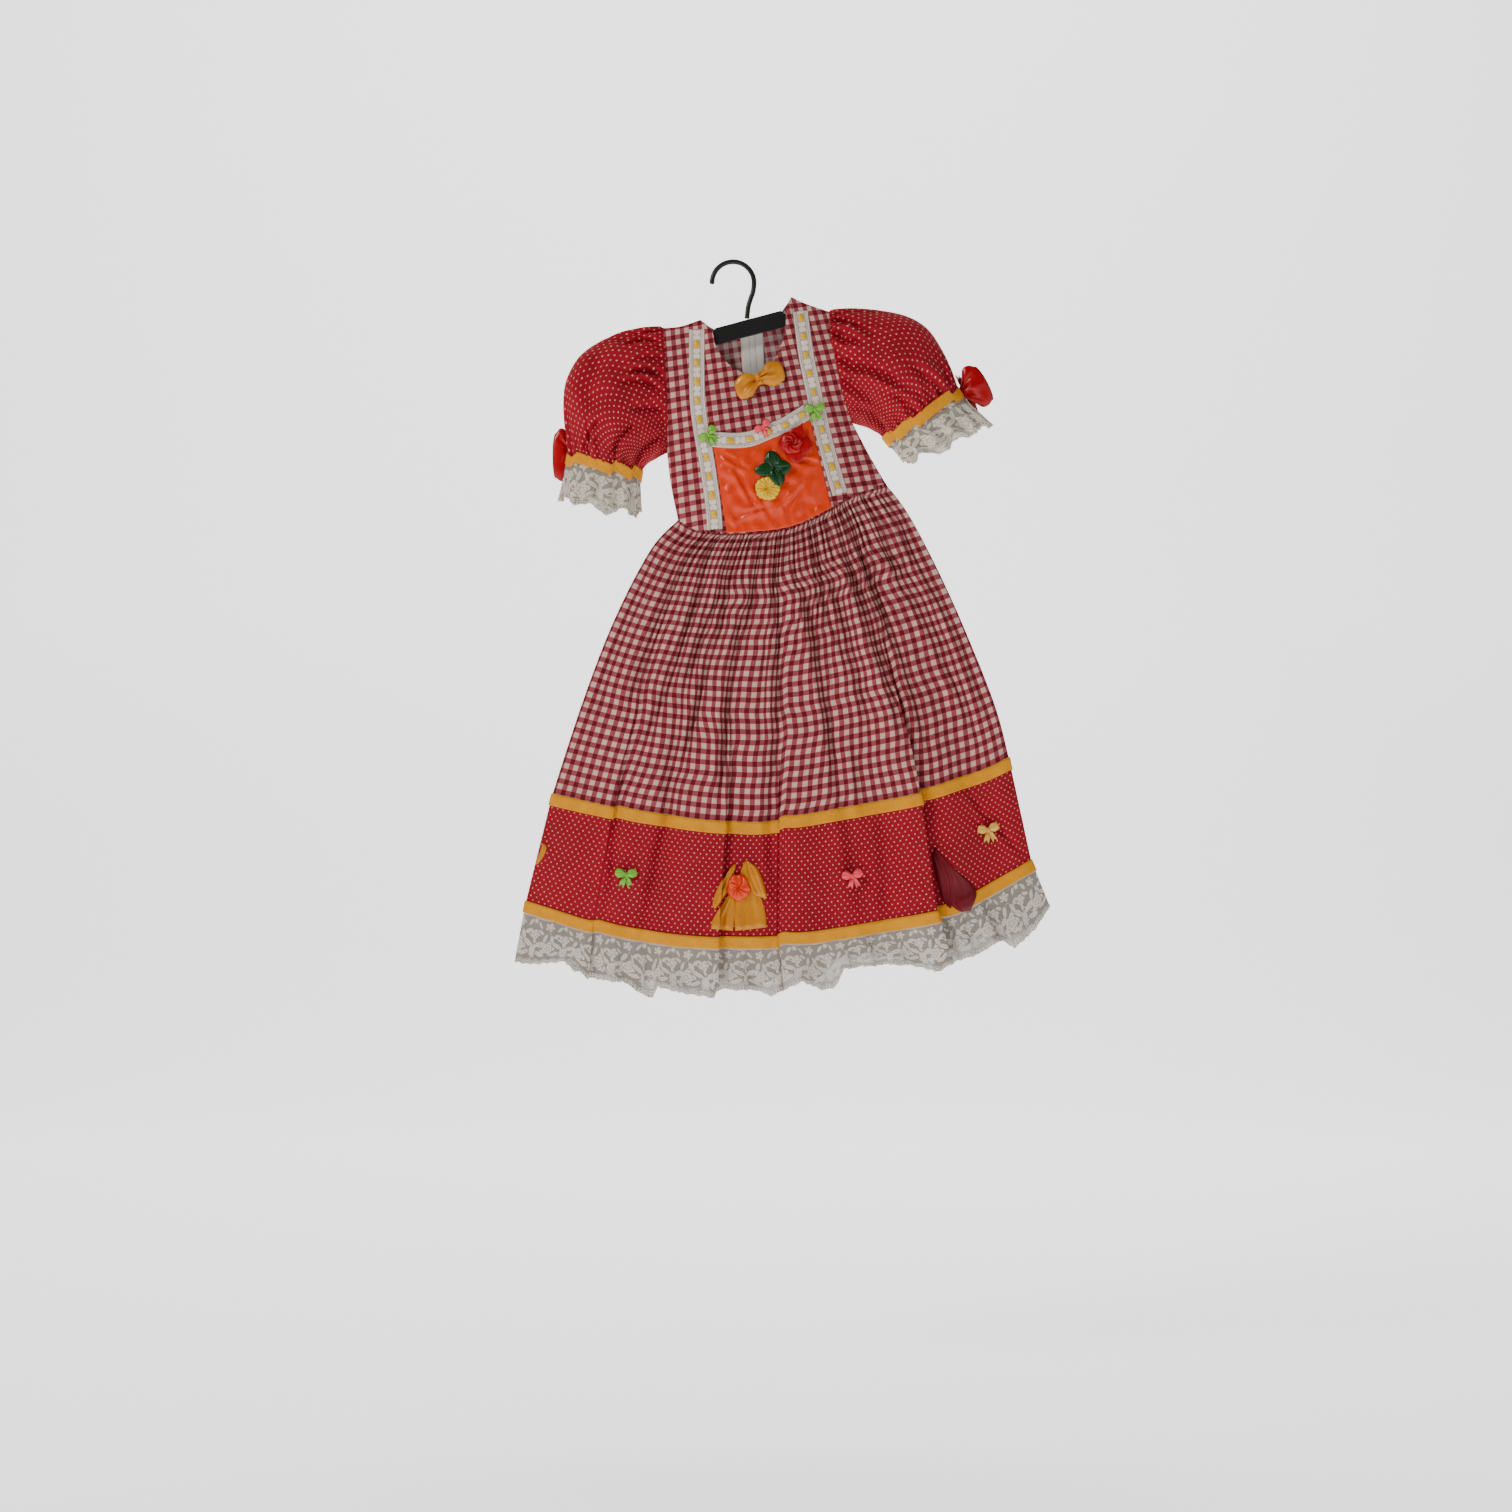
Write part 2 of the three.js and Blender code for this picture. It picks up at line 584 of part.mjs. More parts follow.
// ---------------------------------------------------------------- what lies on the bodice
// Lace insertion strips, by their middle lines.
const STRIP_WIDTH = 17;
const STRIP_LEFT = [
  { x: -44, z: -80 },
  { x: -44, z: -123 },
  { x: -43, z: -169 },
  { x: -38, z: -208 },
  { x: -31, z: -246 },
  { x: -24, z: -296 },
  { x: -22, z: -325 },
];
const STRIP_RIGHT = [
  { x: 82, z: -58 },
  { x: 89, z: -113 },
  { x: 98, z: -157 },
  { x: 108, z: -201 },
  { x: 119, z: -244 },
  { x: 130, z: -282 },
];
const STRIP_ACROSS = [
  { x: -25, z: -216 },
  { x: -2, z: -218 },
  { x: 21, z: -216 },
  { x: 44, z: -207 },
  { x: 62, z: -200 },
  { x: 80, z: -189 },
  { x: 91, z: -182 },
];
const POCKET = { left: 0.235, right: 0.725, columns: 10, rows: 6 }; // along the waist seam

// The place on a panel, moved out from its middle surface.
function onPanel(surface, side, place, lift) {
  return new THREE.Vector3(place.x, depthAt(surface, place.x, place.y, side) + side * lift, place.y);
}

// The place beside a path's middle line, to its left as it is followed.
function beside(path, t, distance) {
  const step = 0.01;
  const along = path(Math.min(1, t + step)).sub(path(Math.max(0, t - step))).normalize();
  return path(t).add(new THREE.Vector2(-along.y, along.x).multiplyScalar(distance));
}

const onCloth = (thickness) => CLOTH / 2 + 3 * GAP + thickness / 2;

function laceStrip(rows, steps) {
  const path = outline(rows);
  const halves = [STRIP_WIDTH / 2, 0, -STRIP_WIDTH / 2];
  const place = (offset, t) => onPanel(bodiceFront, -1, beside(path, t, offset), onCloth(LACE));
  return wall(grid(range(0, 1, steps), halves, place), LACE);
}
piece('lace_strip_left', laceStrip(STRIP_LEFT, 10), white);
piece('lace_strip_right', laceStrip(STRIP_RIGHT, 10), white);
piece('lace_strip_across', laceStrip(STRIP_ACROSS, 12), white);

const acrossPath = outline(STRIP_ACROSS);
function pocketPlace(s, t) {
  const top = beside(acrossPath, mix(0.02, 0.98, s), -STRIP_WIDTH / 2 - 2 * GAP);
  const bottom = waistLine(mix(POCKET.left, POCKET.right, s)).add(new THREE.Vector2(0, 3 * GAP));
  return top.lerp(bottom, t);
}
const pocket = grid(range(0, 1, POCKET.rows), range(0, 1, POCKET.columns), (s, t) => {
  return onPanel(bodiceFront, -1, pocketPlace(s, t), onCloth(CLOTH));
});
piece('pocket', wall(pocket, CLOTH), orange);

// ---------------------------------------------------------------- zip
const ZIP = { halfWidth: 13, tape: 1, lip: 0.4 };
const SLIDER = { width: 8, height: 11, thick: 2.4, right: 1.5, below: 8, onRow: 2.6 };
const LUG = { width: 1, apart: 3.3, tall: 3, past: 1.2, sunk: 0.2, pin: 0.6 };
const PULL = { width: 6, length: 20, thick: 1, eye: 1.9, bore: 1, eyeWidth: 2.6, standsOff: 2.3 };
const PULL_NECK = { length: 3, into: 0.9, overlap: 1.5 };

const zipTape = grid(bodiceRows, [-1, -ZIP.lip, ZIP.lip, 1], (a, row) => {
  const width = bodicePoint(1, 1, row).x - bodicePoint(1, 0, row).x;
  const point = bodicePoint(1, 0.5 + (a * ZIP.halfWidth) / width, row);
  return point.setY(point.y - CLOTH / 2 - 1.3 * GAP - ZIP.tape / 2);
});
piece('zip_tape', wall(zipTape, ZIP.tape), white);

function block(width, depth, height, x, y, z) {
  return new THREE.BoxGeometry(width, depth, height).translate(x, y, z);
}

function rod(radius, length, y, z) {
  const geometry = new THREE.CylinderGeometry(radius, radius, length, 12);
  return geometry.rotateZ(Math.PI / 2).translate(0, y, z);
}

const zipTop = bodicePoint(1, 0.5, BODICE_ROWS);
const zipPlace = new THREE.Vector3(zipTop.x + SLIDER.right, 0, zipTop.z - SLIDER.below);
zipPlace.y = bodicePoint(1, 0.5, BODICE_ROWS - SLIDER.onRow).y + CLOTH / 2 + GAP;
const pinY = SLIDER.thick + PULL.standsOff;
const lugDepth = PULL.standsOff + LUG.past;
const lugs = [-1, 1].map((side) => {
  const x = (side * (LUG.apart + LUG.width)) / 2;
  return block(LUG.width, lugDepth, LUG.tall, x, SLIDER.thick - LUG.sunk + lugDepth / 2, 0);
});
const sliderBody = block(SLIDER.width, SLIDER.thick, SLIDER.height, 0, SLIDER.thick / 2, 0);
const sliderPin = rod(LUG.pin, LUG.apart + LUG.width, pinY, 0);
piece('zip_slider', joined([sliderBody, ...lugs, sliderPin]), metal).position.copy(zipPlace);

const eye = new THREE.Shape();
eye.absarc(0, 0, PULL.eye, 0, 2 * Math.PI);
const bore = new THREE.Path();
bore.absarc(0, 0, PULL.bore, 0, 2 * Math.PI, true);
eye.holes.push(bore);
const eyeForm = { depth: PULL.eyeWidth, bevelEnabled: false, curveSegments: 7 };
const eyeRing = new THREE.ExtrudeGeometry(eye, eyeForm).translate(0, 0, -PULL.eyeWidth / 2);
eyeRing.rotateY(Math.PI / 2).translate(0, pinY, 0);
const neckTop = PULL_NECK.into - PULL.eye;
const neckMiddle = neckTop - PULL_NECK.length / 2;
const tabMiddle = neckTop - PULL_NECK.length + PULL_NECK.overlap - PULL.length / 2;
const pullNeck = block(PULL.eyeWidth, PULL.thick, PULL_NECK.length, 0, pinY, neckMiddle);
const tab = block(PULL.width, PULL.thick, PULL.length, 0, pinY, tabMiddle);
piece('zip_pull', joined([eyeRing, pullNeck, tab]), metal).position.copy(zipPlace);

// ---------------------------------------------------------------- bows and flowers
// A bow: two loops, a knot and two tails, its flat back at y = 0 and its front towards -y.
const BOW_LOOP = [
  { out: 0.04, tall: 0.3, deep: 0.55 },
  { out: 0.26, tall: 0.82, deep: 0.9 },
  { out: 0.43, tall: 1, deep: 1 },
  { out: 0.5, tall: 0.78, deep: 0.6 },
];
const BOW_SIDES = 8;

function bowLoop(direction, width, height, depth) {
  const rings = BOW_LOOP.map(({ out, tall, deep }) => {
    return range(0, BOW_SIDES - 1, BOW_SIDES - 1).map((j) => {
      const angle = ((j + 0.5) * 2 * Math.PI) / BOW_SIDES;
      const y = -depth / 2 + (depth / 2) * deep * Math.cos(angle);
      return new THREE.Vector3(direction * out * width, y, (height / 2) * tall * Math.sin(angle));
    });
  });
  return closedLoft(direction > 0 ? rings.reverse() : rings);
}

// Rings of points joined into a closed body with flat ends, the rings following -X.
function closedLoft(rings) {
  const sides = rings[0].length;
  const positions = rings.flat().flatMap((point) => point.toArray());
  const faces = [];
  for (let r = 0; r + 1 < rings.length; r += 1) {
    for (let j = 0; j < sides; j += 1) {
      const a = r * sides + j;
      const b = r * sides + ((j + 1) % sides);
      faces.push(a, a + sides, b + sides, a, b + sides, b);
    }
  }
  const last = (rings.length - 1) * sides;
  for (let j = 1; j + 1 < sides; j += 1) {
    faces.push(0, j, j + 1, last, last + j + 1, last + j);
  }
  const geometry = new THREE.BufferGeometry();
  geometry.setAttribute('position', new THREE.Float32BufferAttribute(positions, 3));
  geometry.setIndex(faces);
  return geometry;
}

const KNOT = { wide: 0.18, tall: 0.42, deep: 1.1 }; // of the bow's own sizes

function bow({ width, height, depth, tails }) {
  const knotDepth = depth * KNOT.deep;
  const knot = block(width * KNOT.wide, knotDepth, height * KNOT.tall, 0, -knotDepth / 2, 0);
  const forms = [bowLoop(1, width, height, depth), bowLoop(-1, width, height, depth), knot];
  if (tails > 0) {
    [-1, 1].forEach((side) => {
      const points = [
        [0, 0],
        [side * width * 0.1, 0],
        [side * width * 0.42, -tails * 0.82],
        [side * width * 0.2, -tails],
      ];
      forms.push(slab(points, depth * 0.4).translate(0, -depth * 0.3, 0));
    });
  }
  return joined(forms);
}

const PETAL_EDGE = 1.5;

// A gathered cloth flower: a petalled disc with soft edges, its back at y = 0.
function flower({ radius, petals, height }) {
  const steps = petals * 4;
  const outer = range(0, steps - 1, steps - 1).map((j) => {
    const angle = (2 * Math.PI * j) / steps;
    const reach = radius * (0.8 + 0.2 * Math.abs(Math.cos((petals * angle) / 2)));
    return new THREE.Vector2(reach * Math.sin(angle), reach * Math.cos(angle));
  });
  const form = { depth: height / 2, bevelThickness: height / 4, bevelSegments: 1 };
  const edge = { bevelSize: PETAL_EDGE, bevelOffset: -PETAL_EDGE };
  const geometry = new THREE.ExtrudeGeometry(new THREE.Shape(outer), { ...form, ...edge });
  return geometry.rotateX(Math.PI / 2).translate(0, -height / 4, 0);
}

// How far out a flat-backed piece sits to clear the panel over its whole width.
function seat(surface, side, { x, z, halfWidth, halfHeight }) {
  let y = null;
  range(-1, 1, 6).forEach((a) => {
    range(-1, 1, 6).forEach((b) => {
      const here = depthAt(surface, x + a * halfWidth, z + b * halfHeight, side);
      if (here !== null && (y === null || here * side > y * side)) y = here;
    });
  });
  return y + side * (CLOTH / 2 + GAP);
}

// What is sewn on the front: its panel, its place, its turn in degrees, how far it presses
// into the folds under it (below zero where it lies over more cloth) and its sizes.
const FRONT_BOWS = [
  {
    name: 'bow_neck', on: 'bodice', x: 33, z: -142.5, turn: 18.5, under: -0.7,
    width: 64, height: 29, depth: 10, tails: 0, material: yellow,
  },
  {
    name: 'bow_green_left', on: 'bodice', x: -29, z: -212.5, turn: 80, under: 1.2,
    width: 25, height: 15, depth: 5, tails: 0, material: paleGreen,
  },
  {
    name: 'bow_pink', on: 'bodice', x: 36.5, z: -203, turn: 15, under: 2.1,
    width: 25, height: 14, depth: 5, tails: 0, material: pink,
  },
  {
    name: 'bow_green_right', on: 'bodice', x: 101, z: -182.5, turn: 25, under: 2.3,
    width: 23, height: 14, depth: 5, tails: 0, material: paleGreen,
  },
  {
    name: 'bow_band_green', on: 'band', x: -130.5, z: -745, turn: -8, under: 0,
    width: 27, height: 18, depth: 7, tails: 15, material: paleGreen,
  },
  {
    name: 'bow_band_yellow', on: 'band', x: 7, z: -757, turn: -4, under: 0,
    width: 68, height: 38, depth: 12, tails: 50, material: yellow,
  },
  {
    name: 'bow_band_pink', on: 'band', x: 145, z: -745, turn: 8, under: 0,
    width: 27, height: 18, depth: 7, tails: 15, material: pink,
  },
  {
    name: 'bow_band_wine', on: 'band', x: 270, z: -735, turn: 60, under: 0,
    width: 62, height: 34, depth: 10, tails: 24, material: wine,
  },
  {
    name: 'bow_band_cream', on: 'band', x: 311, z: -692, turn: 20, under: 0.3,
    width: 27, height: 20, depth: 7, tails: 14, material: cream,
  },
  {
    name: 'bow_band_left', on: 'band', x: -226, z: -716, turn: -70, under: 0.4,
    width: 24, height: 14, depth: 6, tails: 0, material: yellow,
  },
];
const panels = { bodice: bodiceFront, band: surfaces.band_front };
const seats = {};
FRONT_BOWS.forEach((row) => {
  const turn = THREE.MathUtils.degToRad(row.turn);
  const reach = { halfWidth: row.width * 0.35, halfHeight: row.height * 0.3 + row.tails * 0.25 };
  if (Math.abs(row.turn) > 45) {
    [reach.halfWidth, reach.halfHeight] = [reach.halfHeight, reach.halfWidth];
  }
  const y = seat(panels[row.on], -1, { x: row.x, z: row.z - row.tails * 0.25, ...reach }) - row.under;
  seats[row.name] = y - row.depth * KNOT.deep - GAP;
  const mesh = piece(row.name, bow(row), row.material);
  mesh.position.set(row.x, y, row.z);
  mesh.rotation.y = -turn;
});

const FLOWERS = [
  {
    name: 'flower_red', on: 'bodice', x: 76, z: -221, under: 2.4,
    height: 3, radius: 18, petals: 5, material: red,
  },
  {
    name: 'flower_green', on: 'bodice', x: 50, z: -253, under: 2.5,
    height: 3, radius: 22, petals: 4, material: green,
  },
  {
    name: 'flower_yellow', on: 'flower_green', x: 42, z: -276, under: 0,
    height: 4, radius: 15, petals: 6, material: yellow,
  },
  {
    name: 'flower_band', on: 'bow_band_yellow', x: 7, z: -757, under: 0,
    height: 5, radius: 13.5, petals: 5, material: orange,
  },
];
FLOWERS.forEach((row) => {
  const reach = { halfWidth: row.radius, halfHeight: row.radius };
  const y = seats[row.on] ?? seat(panels[row.on], -1, { x: row.x, z: row.z, ...reach }) - row.under;
  seats[row.name] = y - row.height - GAP;
  piece(row.name, flower(row), row.material).position.set(row.x, y, row.z);
});

// The cuff bows stand upright on the outer edge of each cuff.
const CUFF_BOWS = [
  {
    name: 'bow_cuff_left', x: -204.2, y: 8, z: -230, turn: 0, spin: 90,
    width: 62, height: 30, depth: 17, tails: 0,
  },
  {
    name: 'bow_cuff_right', x: 277, y: 8, z: -150.2, turn: 28, spin: -90,
    width: 58, height: 30, depth: 17, tails: 0,
  },
];
CUFF_BOWS.forEach((row) => {
  const mesh = piece(row.name, bow(row), red);
  const upright = new THREE.Matrix4().makeRotationY(Math.PI / 2);
  const facing = new THREE.Matrix4().makeRotationZ(THREE.MathUtils.degToRad(-row.spin));
  const lean = new THREE.Matrix4().makeRotationY(THREE.MathUtils.degToRad(-row.turn));
  mesh.quaternion.setFromRotationMatrix(lean.multiply(facing).multiply(upright));
  mesh.position.set(row.x, row.y, row.z);
});

// ---------------------------------------------------------------- hanger
const HOOK = { radius: 25.6, wire: 3.1, from: 185, to: -10 };
const HOOK_NECK = [
  { x: 24.5, z: -33 },
  { x: 21.5, z: -42 },
  { x: 18.6, z: -52 },
  { x: 16.9, z: -66.2 },
];
const BAR = { x: 20.7, z: -77.2, tilt: 15, half: 44, height: 19.5, depth: 7, corner: 3 };
const ARM = { reach: 84, drop: 18.5, rootHeight: 16, tipHeight: 10, depth: 5, into: 6, nose: 2 };

function solid(geometry) {
  const bare = geometry.index ? geometry.toNonIndexed() : geometry.clone();
  Object.keys(bare.attributes).forEach((key) => key !== 'position' && bare.deleteAttribute(key));
  const merged = mergeVertices(bare, 1e-4);
  const mesh = new wasm.Mesh({
    numProp: 3,
    vertProperties: Float32Array.from(merged.attributes.position.array),
    triVerts: Uint32Array.from(merged.index.array),
  });
  return new wasm.Manifold(mesh);
}

function joined(geometries) {
  let sum = solid(geometries[0]);
  geometries.slice(1).forEach((next) => {
    sum = sum.add(solid(next));
  });
  const mesh = sum.getMesh();
  const geometry = new THREE.BufferGeometry();
  const positions = Float32Array.from(mesh.vertProperties);
  geometry.setAttribute('position', new THREE.BufferAttribute(positions, 3));
  geometry.setIndex(Array.from(mesh.triVerts));
  return geometry;
}

// A shape drawn in x and z, given a thickness in y about the middle.
function slab(points, depth) {
  const shape = new THREE.Shape(points.map(([x, z]) => new THREE.Vector2(x, z)));
  const geometry = new THREE.ExtrudeGeometry(shape, { depth, bevelEnabled: false });
  return geometry.rotateX(Math.PI / 2).translate(0, depth / 2, 0);
}

function arm(direction) {
  const root = BAR.half - ARM.into;
  const tip = ARM.rootHeight / 2 - ARM.drop;
  const points = [
    [root, ARM.rootHeight / 2],
    [ARM.reach, tip],
    [ARM.reach + ARM.nose, tip - ARM.tipHeight / 2],
    [ARM.reach, tip - ARM.tipHeight],
    [root, -ARM.rootHeight / 2],
  ];
  return slab(points.map(([x, z]) => [x * direction, z]), ARM.depth);
}

function hangerBar() {
  const { half: end, height, corner } = BAR;
  const top = height / 2;
  const points = [
    [-end, top - corner],
    [-end + corner, top],
    [end - corner, top],
    [end, top - corner],
    [end, corner - top],
    [end - corner, -top],
    [corner - end, -top],
    [-end, corner - top],
  ];
  return joined([slab(points, BAR.depth), arm(1), arm(-1)]);
}

const bar = piece('hanger_bar', hangerBar(), black);
bar.position.set(BAR.x, 0, BAR.z);
bar.rotation.y = -THREE.MathUtils.degToRad(BAR.tilt);

const hookMiddle = HOOK.wire - HOOK.radius;
const bend = range(HOOK.from, HOOK.to, 13).map((degrees) => {
  const angle = THREE.MathUtils.degToRad(degrees);
  const [x, z] = [HOOK.radius * Math.cos(angle), HOOK.radius * Math.sin(angle)];
  return new THREE.Vector3(x, 0, hookMiddle + z);
});
const neckPoints = HOOK_NECK.map((row) => new THREE.Vector3(row.x, 0, row.z));
const wire = new THREE.Shape();
wire.absarc(0, 0, HOOK.wire, 0, 2 * Math.PI);
const hookPath = new THREE.CatmullRomCurve3([...bend, ...neckPoints]);
const hookForm = { steps: 22, curveSegments: 4, extrudePath: hookPath };
piece('hanger_hook', new THREE.ExtrudeGeometry(wire, hookForm), steel);

export default dress;
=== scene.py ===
# %% [markdown]
# A girl's party dress for the June festival, hanging on a plain hanger. The dress is thin cotton
# with a full gathered skirt, so nearly all of it is sheets of cloth. The plan is to describe each
# sheet as a grid of points that follows the imported solid, with the gathers, creases and folds put
# in one by one, and to give every grid a map of its own flat cloth, so that the check and the dots
# are printed at their real size and follow each fold.

# %% Load the fixed frame
import json
import math

import bpy
import numpy as np
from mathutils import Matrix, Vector

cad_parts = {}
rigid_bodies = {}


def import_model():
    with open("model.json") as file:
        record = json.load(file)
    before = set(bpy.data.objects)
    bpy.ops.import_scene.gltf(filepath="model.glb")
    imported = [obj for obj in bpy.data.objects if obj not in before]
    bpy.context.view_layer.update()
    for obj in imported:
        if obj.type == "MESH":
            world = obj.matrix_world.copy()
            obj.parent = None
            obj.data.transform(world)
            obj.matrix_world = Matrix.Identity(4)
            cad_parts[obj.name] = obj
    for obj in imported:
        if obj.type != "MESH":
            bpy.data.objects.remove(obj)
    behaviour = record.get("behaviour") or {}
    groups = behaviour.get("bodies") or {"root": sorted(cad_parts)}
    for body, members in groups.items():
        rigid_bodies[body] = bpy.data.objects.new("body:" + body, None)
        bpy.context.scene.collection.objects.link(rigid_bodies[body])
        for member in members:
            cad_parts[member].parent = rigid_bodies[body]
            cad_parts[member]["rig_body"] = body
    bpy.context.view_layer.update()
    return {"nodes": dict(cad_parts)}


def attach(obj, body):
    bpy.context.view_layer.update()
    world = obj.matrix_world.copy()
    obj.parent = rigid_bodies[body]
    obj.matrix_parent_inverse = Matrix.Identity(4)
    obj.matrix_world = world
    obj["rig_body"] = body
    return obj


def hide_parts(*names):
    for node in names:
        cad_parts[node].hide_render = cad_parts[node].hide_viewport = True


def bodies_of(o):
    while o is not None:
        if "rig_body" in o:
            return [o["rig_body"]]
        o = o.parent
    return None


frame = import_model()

# %% [markdown]
# The hanging dress is seen straight from the front by a long lens about three metres away, level
# with its middle, which keeps the outline free of perspective. A pale sweep, a floor that curves
# up into a wall and glows a little, stands for the white of a studio.

# %% Camera and a pale sweep
MM = 0.001
CAMERA_AWAY = 3.0
VIEW_WIDTH = 1.845
VIEW_CENTRE = (0.028, -0.600)
FLOOR_Z = -1.42
SWEEP_NEAR, SWEEP_BACK, SWEEP_TOP = -6.0, 2.2, 3.5
SWEEP_CURVE, SWEEP_STEPS = 1.2, 12
SWEEP_HALF_WIDTH = 7.0

lens_data = bpy.data.cameras.new("front_view")
lens_data.sensor_width = 36.0
lens_data.lens = lens_data.sensor_width * CAMERA_AWAY / VIEW_WIDTH
camera = bpy.data.objects.new("front_view", lens_data)
camera.location = (VIEW_CENTRE[0], -CAMERA_AWAY, VIEW_CENTRE[1])
camera.rotation_euler = (math.pi / 2, 0, 0)
bpy.context.scene.collection.objects.link(camera)
bpy.context.scene.camera = camera


def linear(*rgb):
    """A colour given in screen values 0 to 255, as the linear light that shaders use."""
    part = [c / 255 for c in rgb]
    return [c / 12.92 if c <= 0.04045 else ((c + 0.055) / 1.055) ** 2.4 for c in part] + [1.0]


def mesh_object(name, points, faces):
    mesh = bpy.data.meshes.new(name)
    mesh.from_pydata([tuple(p) for p in points], [], [tuple(f) for f in faces])
    mesh.shade_smooth()
    thing = bpy.data.objects.new(name, mesh)
    bpy.context.scene.collection.objects.link(thing)
    return thing


profile = [(SWEEP_NEAR, FLOOR_Z), (SWEEP_BACK, FLOOR_Z)]
for step in range(1, SWEEP_STEPS + 1):
    turn = math.pi / 2 * step / SWEEP_STEPS
    profile.append((SWEEP_BACK + SWEEP_CURVE * math.sin(turn), FLOOR_Z + SWEEP_CURVE * (1 - math.cos(turn))))
profile.append((SWEEP_BACK + SWEEP_CURVE, SWEEP_TOP))
sweep_points = [(x, y, z) for y, z in profile for x in (-SWEEP_HALF_WIDTH, SWEEP_HALF_WIDTH)]
sweep_faces = [(2 * i, 2 * i + 1, 2 * i + 3, 2 * i + 2) for i in range(len(profile) - 1)]
sweep = mesh_object("sweep", sweep_points, sweep_faces)
paper = bpy.data.materials.new("paper")
paper.use_nodes = True
paper_shader = paper.node_tree.nodes["Principled BSDF"]
paper_shader.inputs["Base Color"].default_value = (0.9, 0.9, 0.9, 1)
paper_shader.inputs["Roughness"].default_value = 0.9
paper_shader.inputs["Emission Color"].default_value = (1, 1, 1, 1)
paper_shader.inputs["Emission Strength"].default_value = 1.0
sweep.data.materials.append(paper)
print("lens", round(lens_data.lens, 1), "mm, floor", FLOOR_Z)

# %% [markdown]
# Studio light: a panel in front, above and to the left models the folds, and a broad weak one on
# the right opens their shadows. One washes the wall, and one behind lifts the skirt's far side.

# %% Soft lights
world = bpy.data.worlds.new("soft_white")
world.use_nodes = True
world.node_tree.nodes["Background"].inputs["Color"].default_value = (1, 1, 1, 1)
world.node_tree.nodes["Background"].inputs["Strength"].default_value = 0.15
bpy.context.scene.world = world


def soft_panel(name, place, aim, size, watts, colour=(1, 1, 1)):
    data = bpy.data.lights.new(name, "AREA")
    data.shape = "RECTANGLE"
    data.size, data.size_y = size
    data.energy = watts
    data.color = colour
    lamp = bpy.data.objects.new(name, data)
    lamp.location = place
    lamp.rotation_euler = (Vector(aim) - Vector(place)).to_track_quat("-Z", "Y").to_euler()
    bpy.context.scene.collection.objects.link(lamp)


soft_panel("key", (-2.1, -1.9, 1.3), (0, 0, -0.45), (0.6, 0.6), 60, (1, 0.97, 0.93))
soft_panel("fill", (2.2, -2.4, 0.2), (0, 0, -0.5), (1.6, 1.6), 8)
soft_panel("wall_wash", (0, 1.2, 2.4), (0, 3.2, -0.6), (4, 1.5), 110)
soft_panel("back", (1.6, 2.4, 1.0), (0, 0, -0.5), (1.4, 1.4), 18)

# %% [markdown]
# Every edge of the pattern pieces is a smooth curve through a few measured places. A small set of
# helpers reads such a curve by its length and fills the surface between four of them, as a maker
# eases cloth between its seams.

# %% Curves and filled patches
CURVE_STEPS = 40


def unit(v):
    return v / np.maximum(np.linalg.norm(v, axis=-1, keepdims=True), 1e-9)


def run_along(line):
    """How far along a line of points each of them is."""
    return np.concatenate([[0], np.cumsum(np.linalg.norm(np.diff(line, axis=0), axis=-1))])


def spline(p, t):
    """A smooth line through the points or rings of p, read at the numbers t from 0 to the last."""
    last = len(p) - 1
    i = np.minimum(t.astype(int), last - 1)
    w = (t - i).reshape((-1,) + (1,) * (p.ndim - 1))
    p0, p1, p2, p3 = p[np.maximum(i - 1, 0)], p[i], p[i + 1], p[np.minimum(i + 2, last)]
    v0, v1 = (p2 - p0) / 2, (p3 - p1) / 2
    return (2 * (p1 - p2) + v0 + v1) * w**3 + (3 * (p2 - p1) - 2 * v0 - v1) * w**2 + v0 * w + p1


def curve_through(rows):
    """A smooth curve through the rows (x, z in millimetres), read by its length from 0 to 1."""
    p = np.array(rows, float)
    last = len(p) - 1
    line = spline(p, np.linspace(0, last, CURVE_STEPS * last + 1))
    run = run_along(line)
    run /= run[-1]

    def read(s):
        s = np.clip(np.asarray(s, float), 0, 1)
        return np.stack([np.interp(s, run, line[:, k]) for k in range(2)], -1)

    return read


def fill(lower, upper, left, right, u, rise):
    """The surface between four edges, which are given as points for each u and each rise."""
    u, rise = u[..., None], rise[..., None]
    corners = (1 - u) * (1 - rise) * lower["start"] + u * (1 - rise) * lower["end"]
    corners = corners + (1 - u) * rise * upper["start"] + u * rise * upper["end"]
    return (1 - rise) * lower["at"] + rise * upper["at"] + (1 - u) * left + u * right - corners


def edge_at(curve, s):
    return {"at": curve(s), "start": curve(0.0), "end": curve(1.0)}


def lens_shape(s):
    return 1 - np.abs(2 * s - 1) ** 3


def bump(t):
    return np.where(np.abs(t) < 1, np.cos(np.clip(t, -1, 1) * math.pi / 2) ** 2, 0)


def smooth(t):
    t = np.clip(t, 0, 1)
    return t * t * (3 - 2 * t)
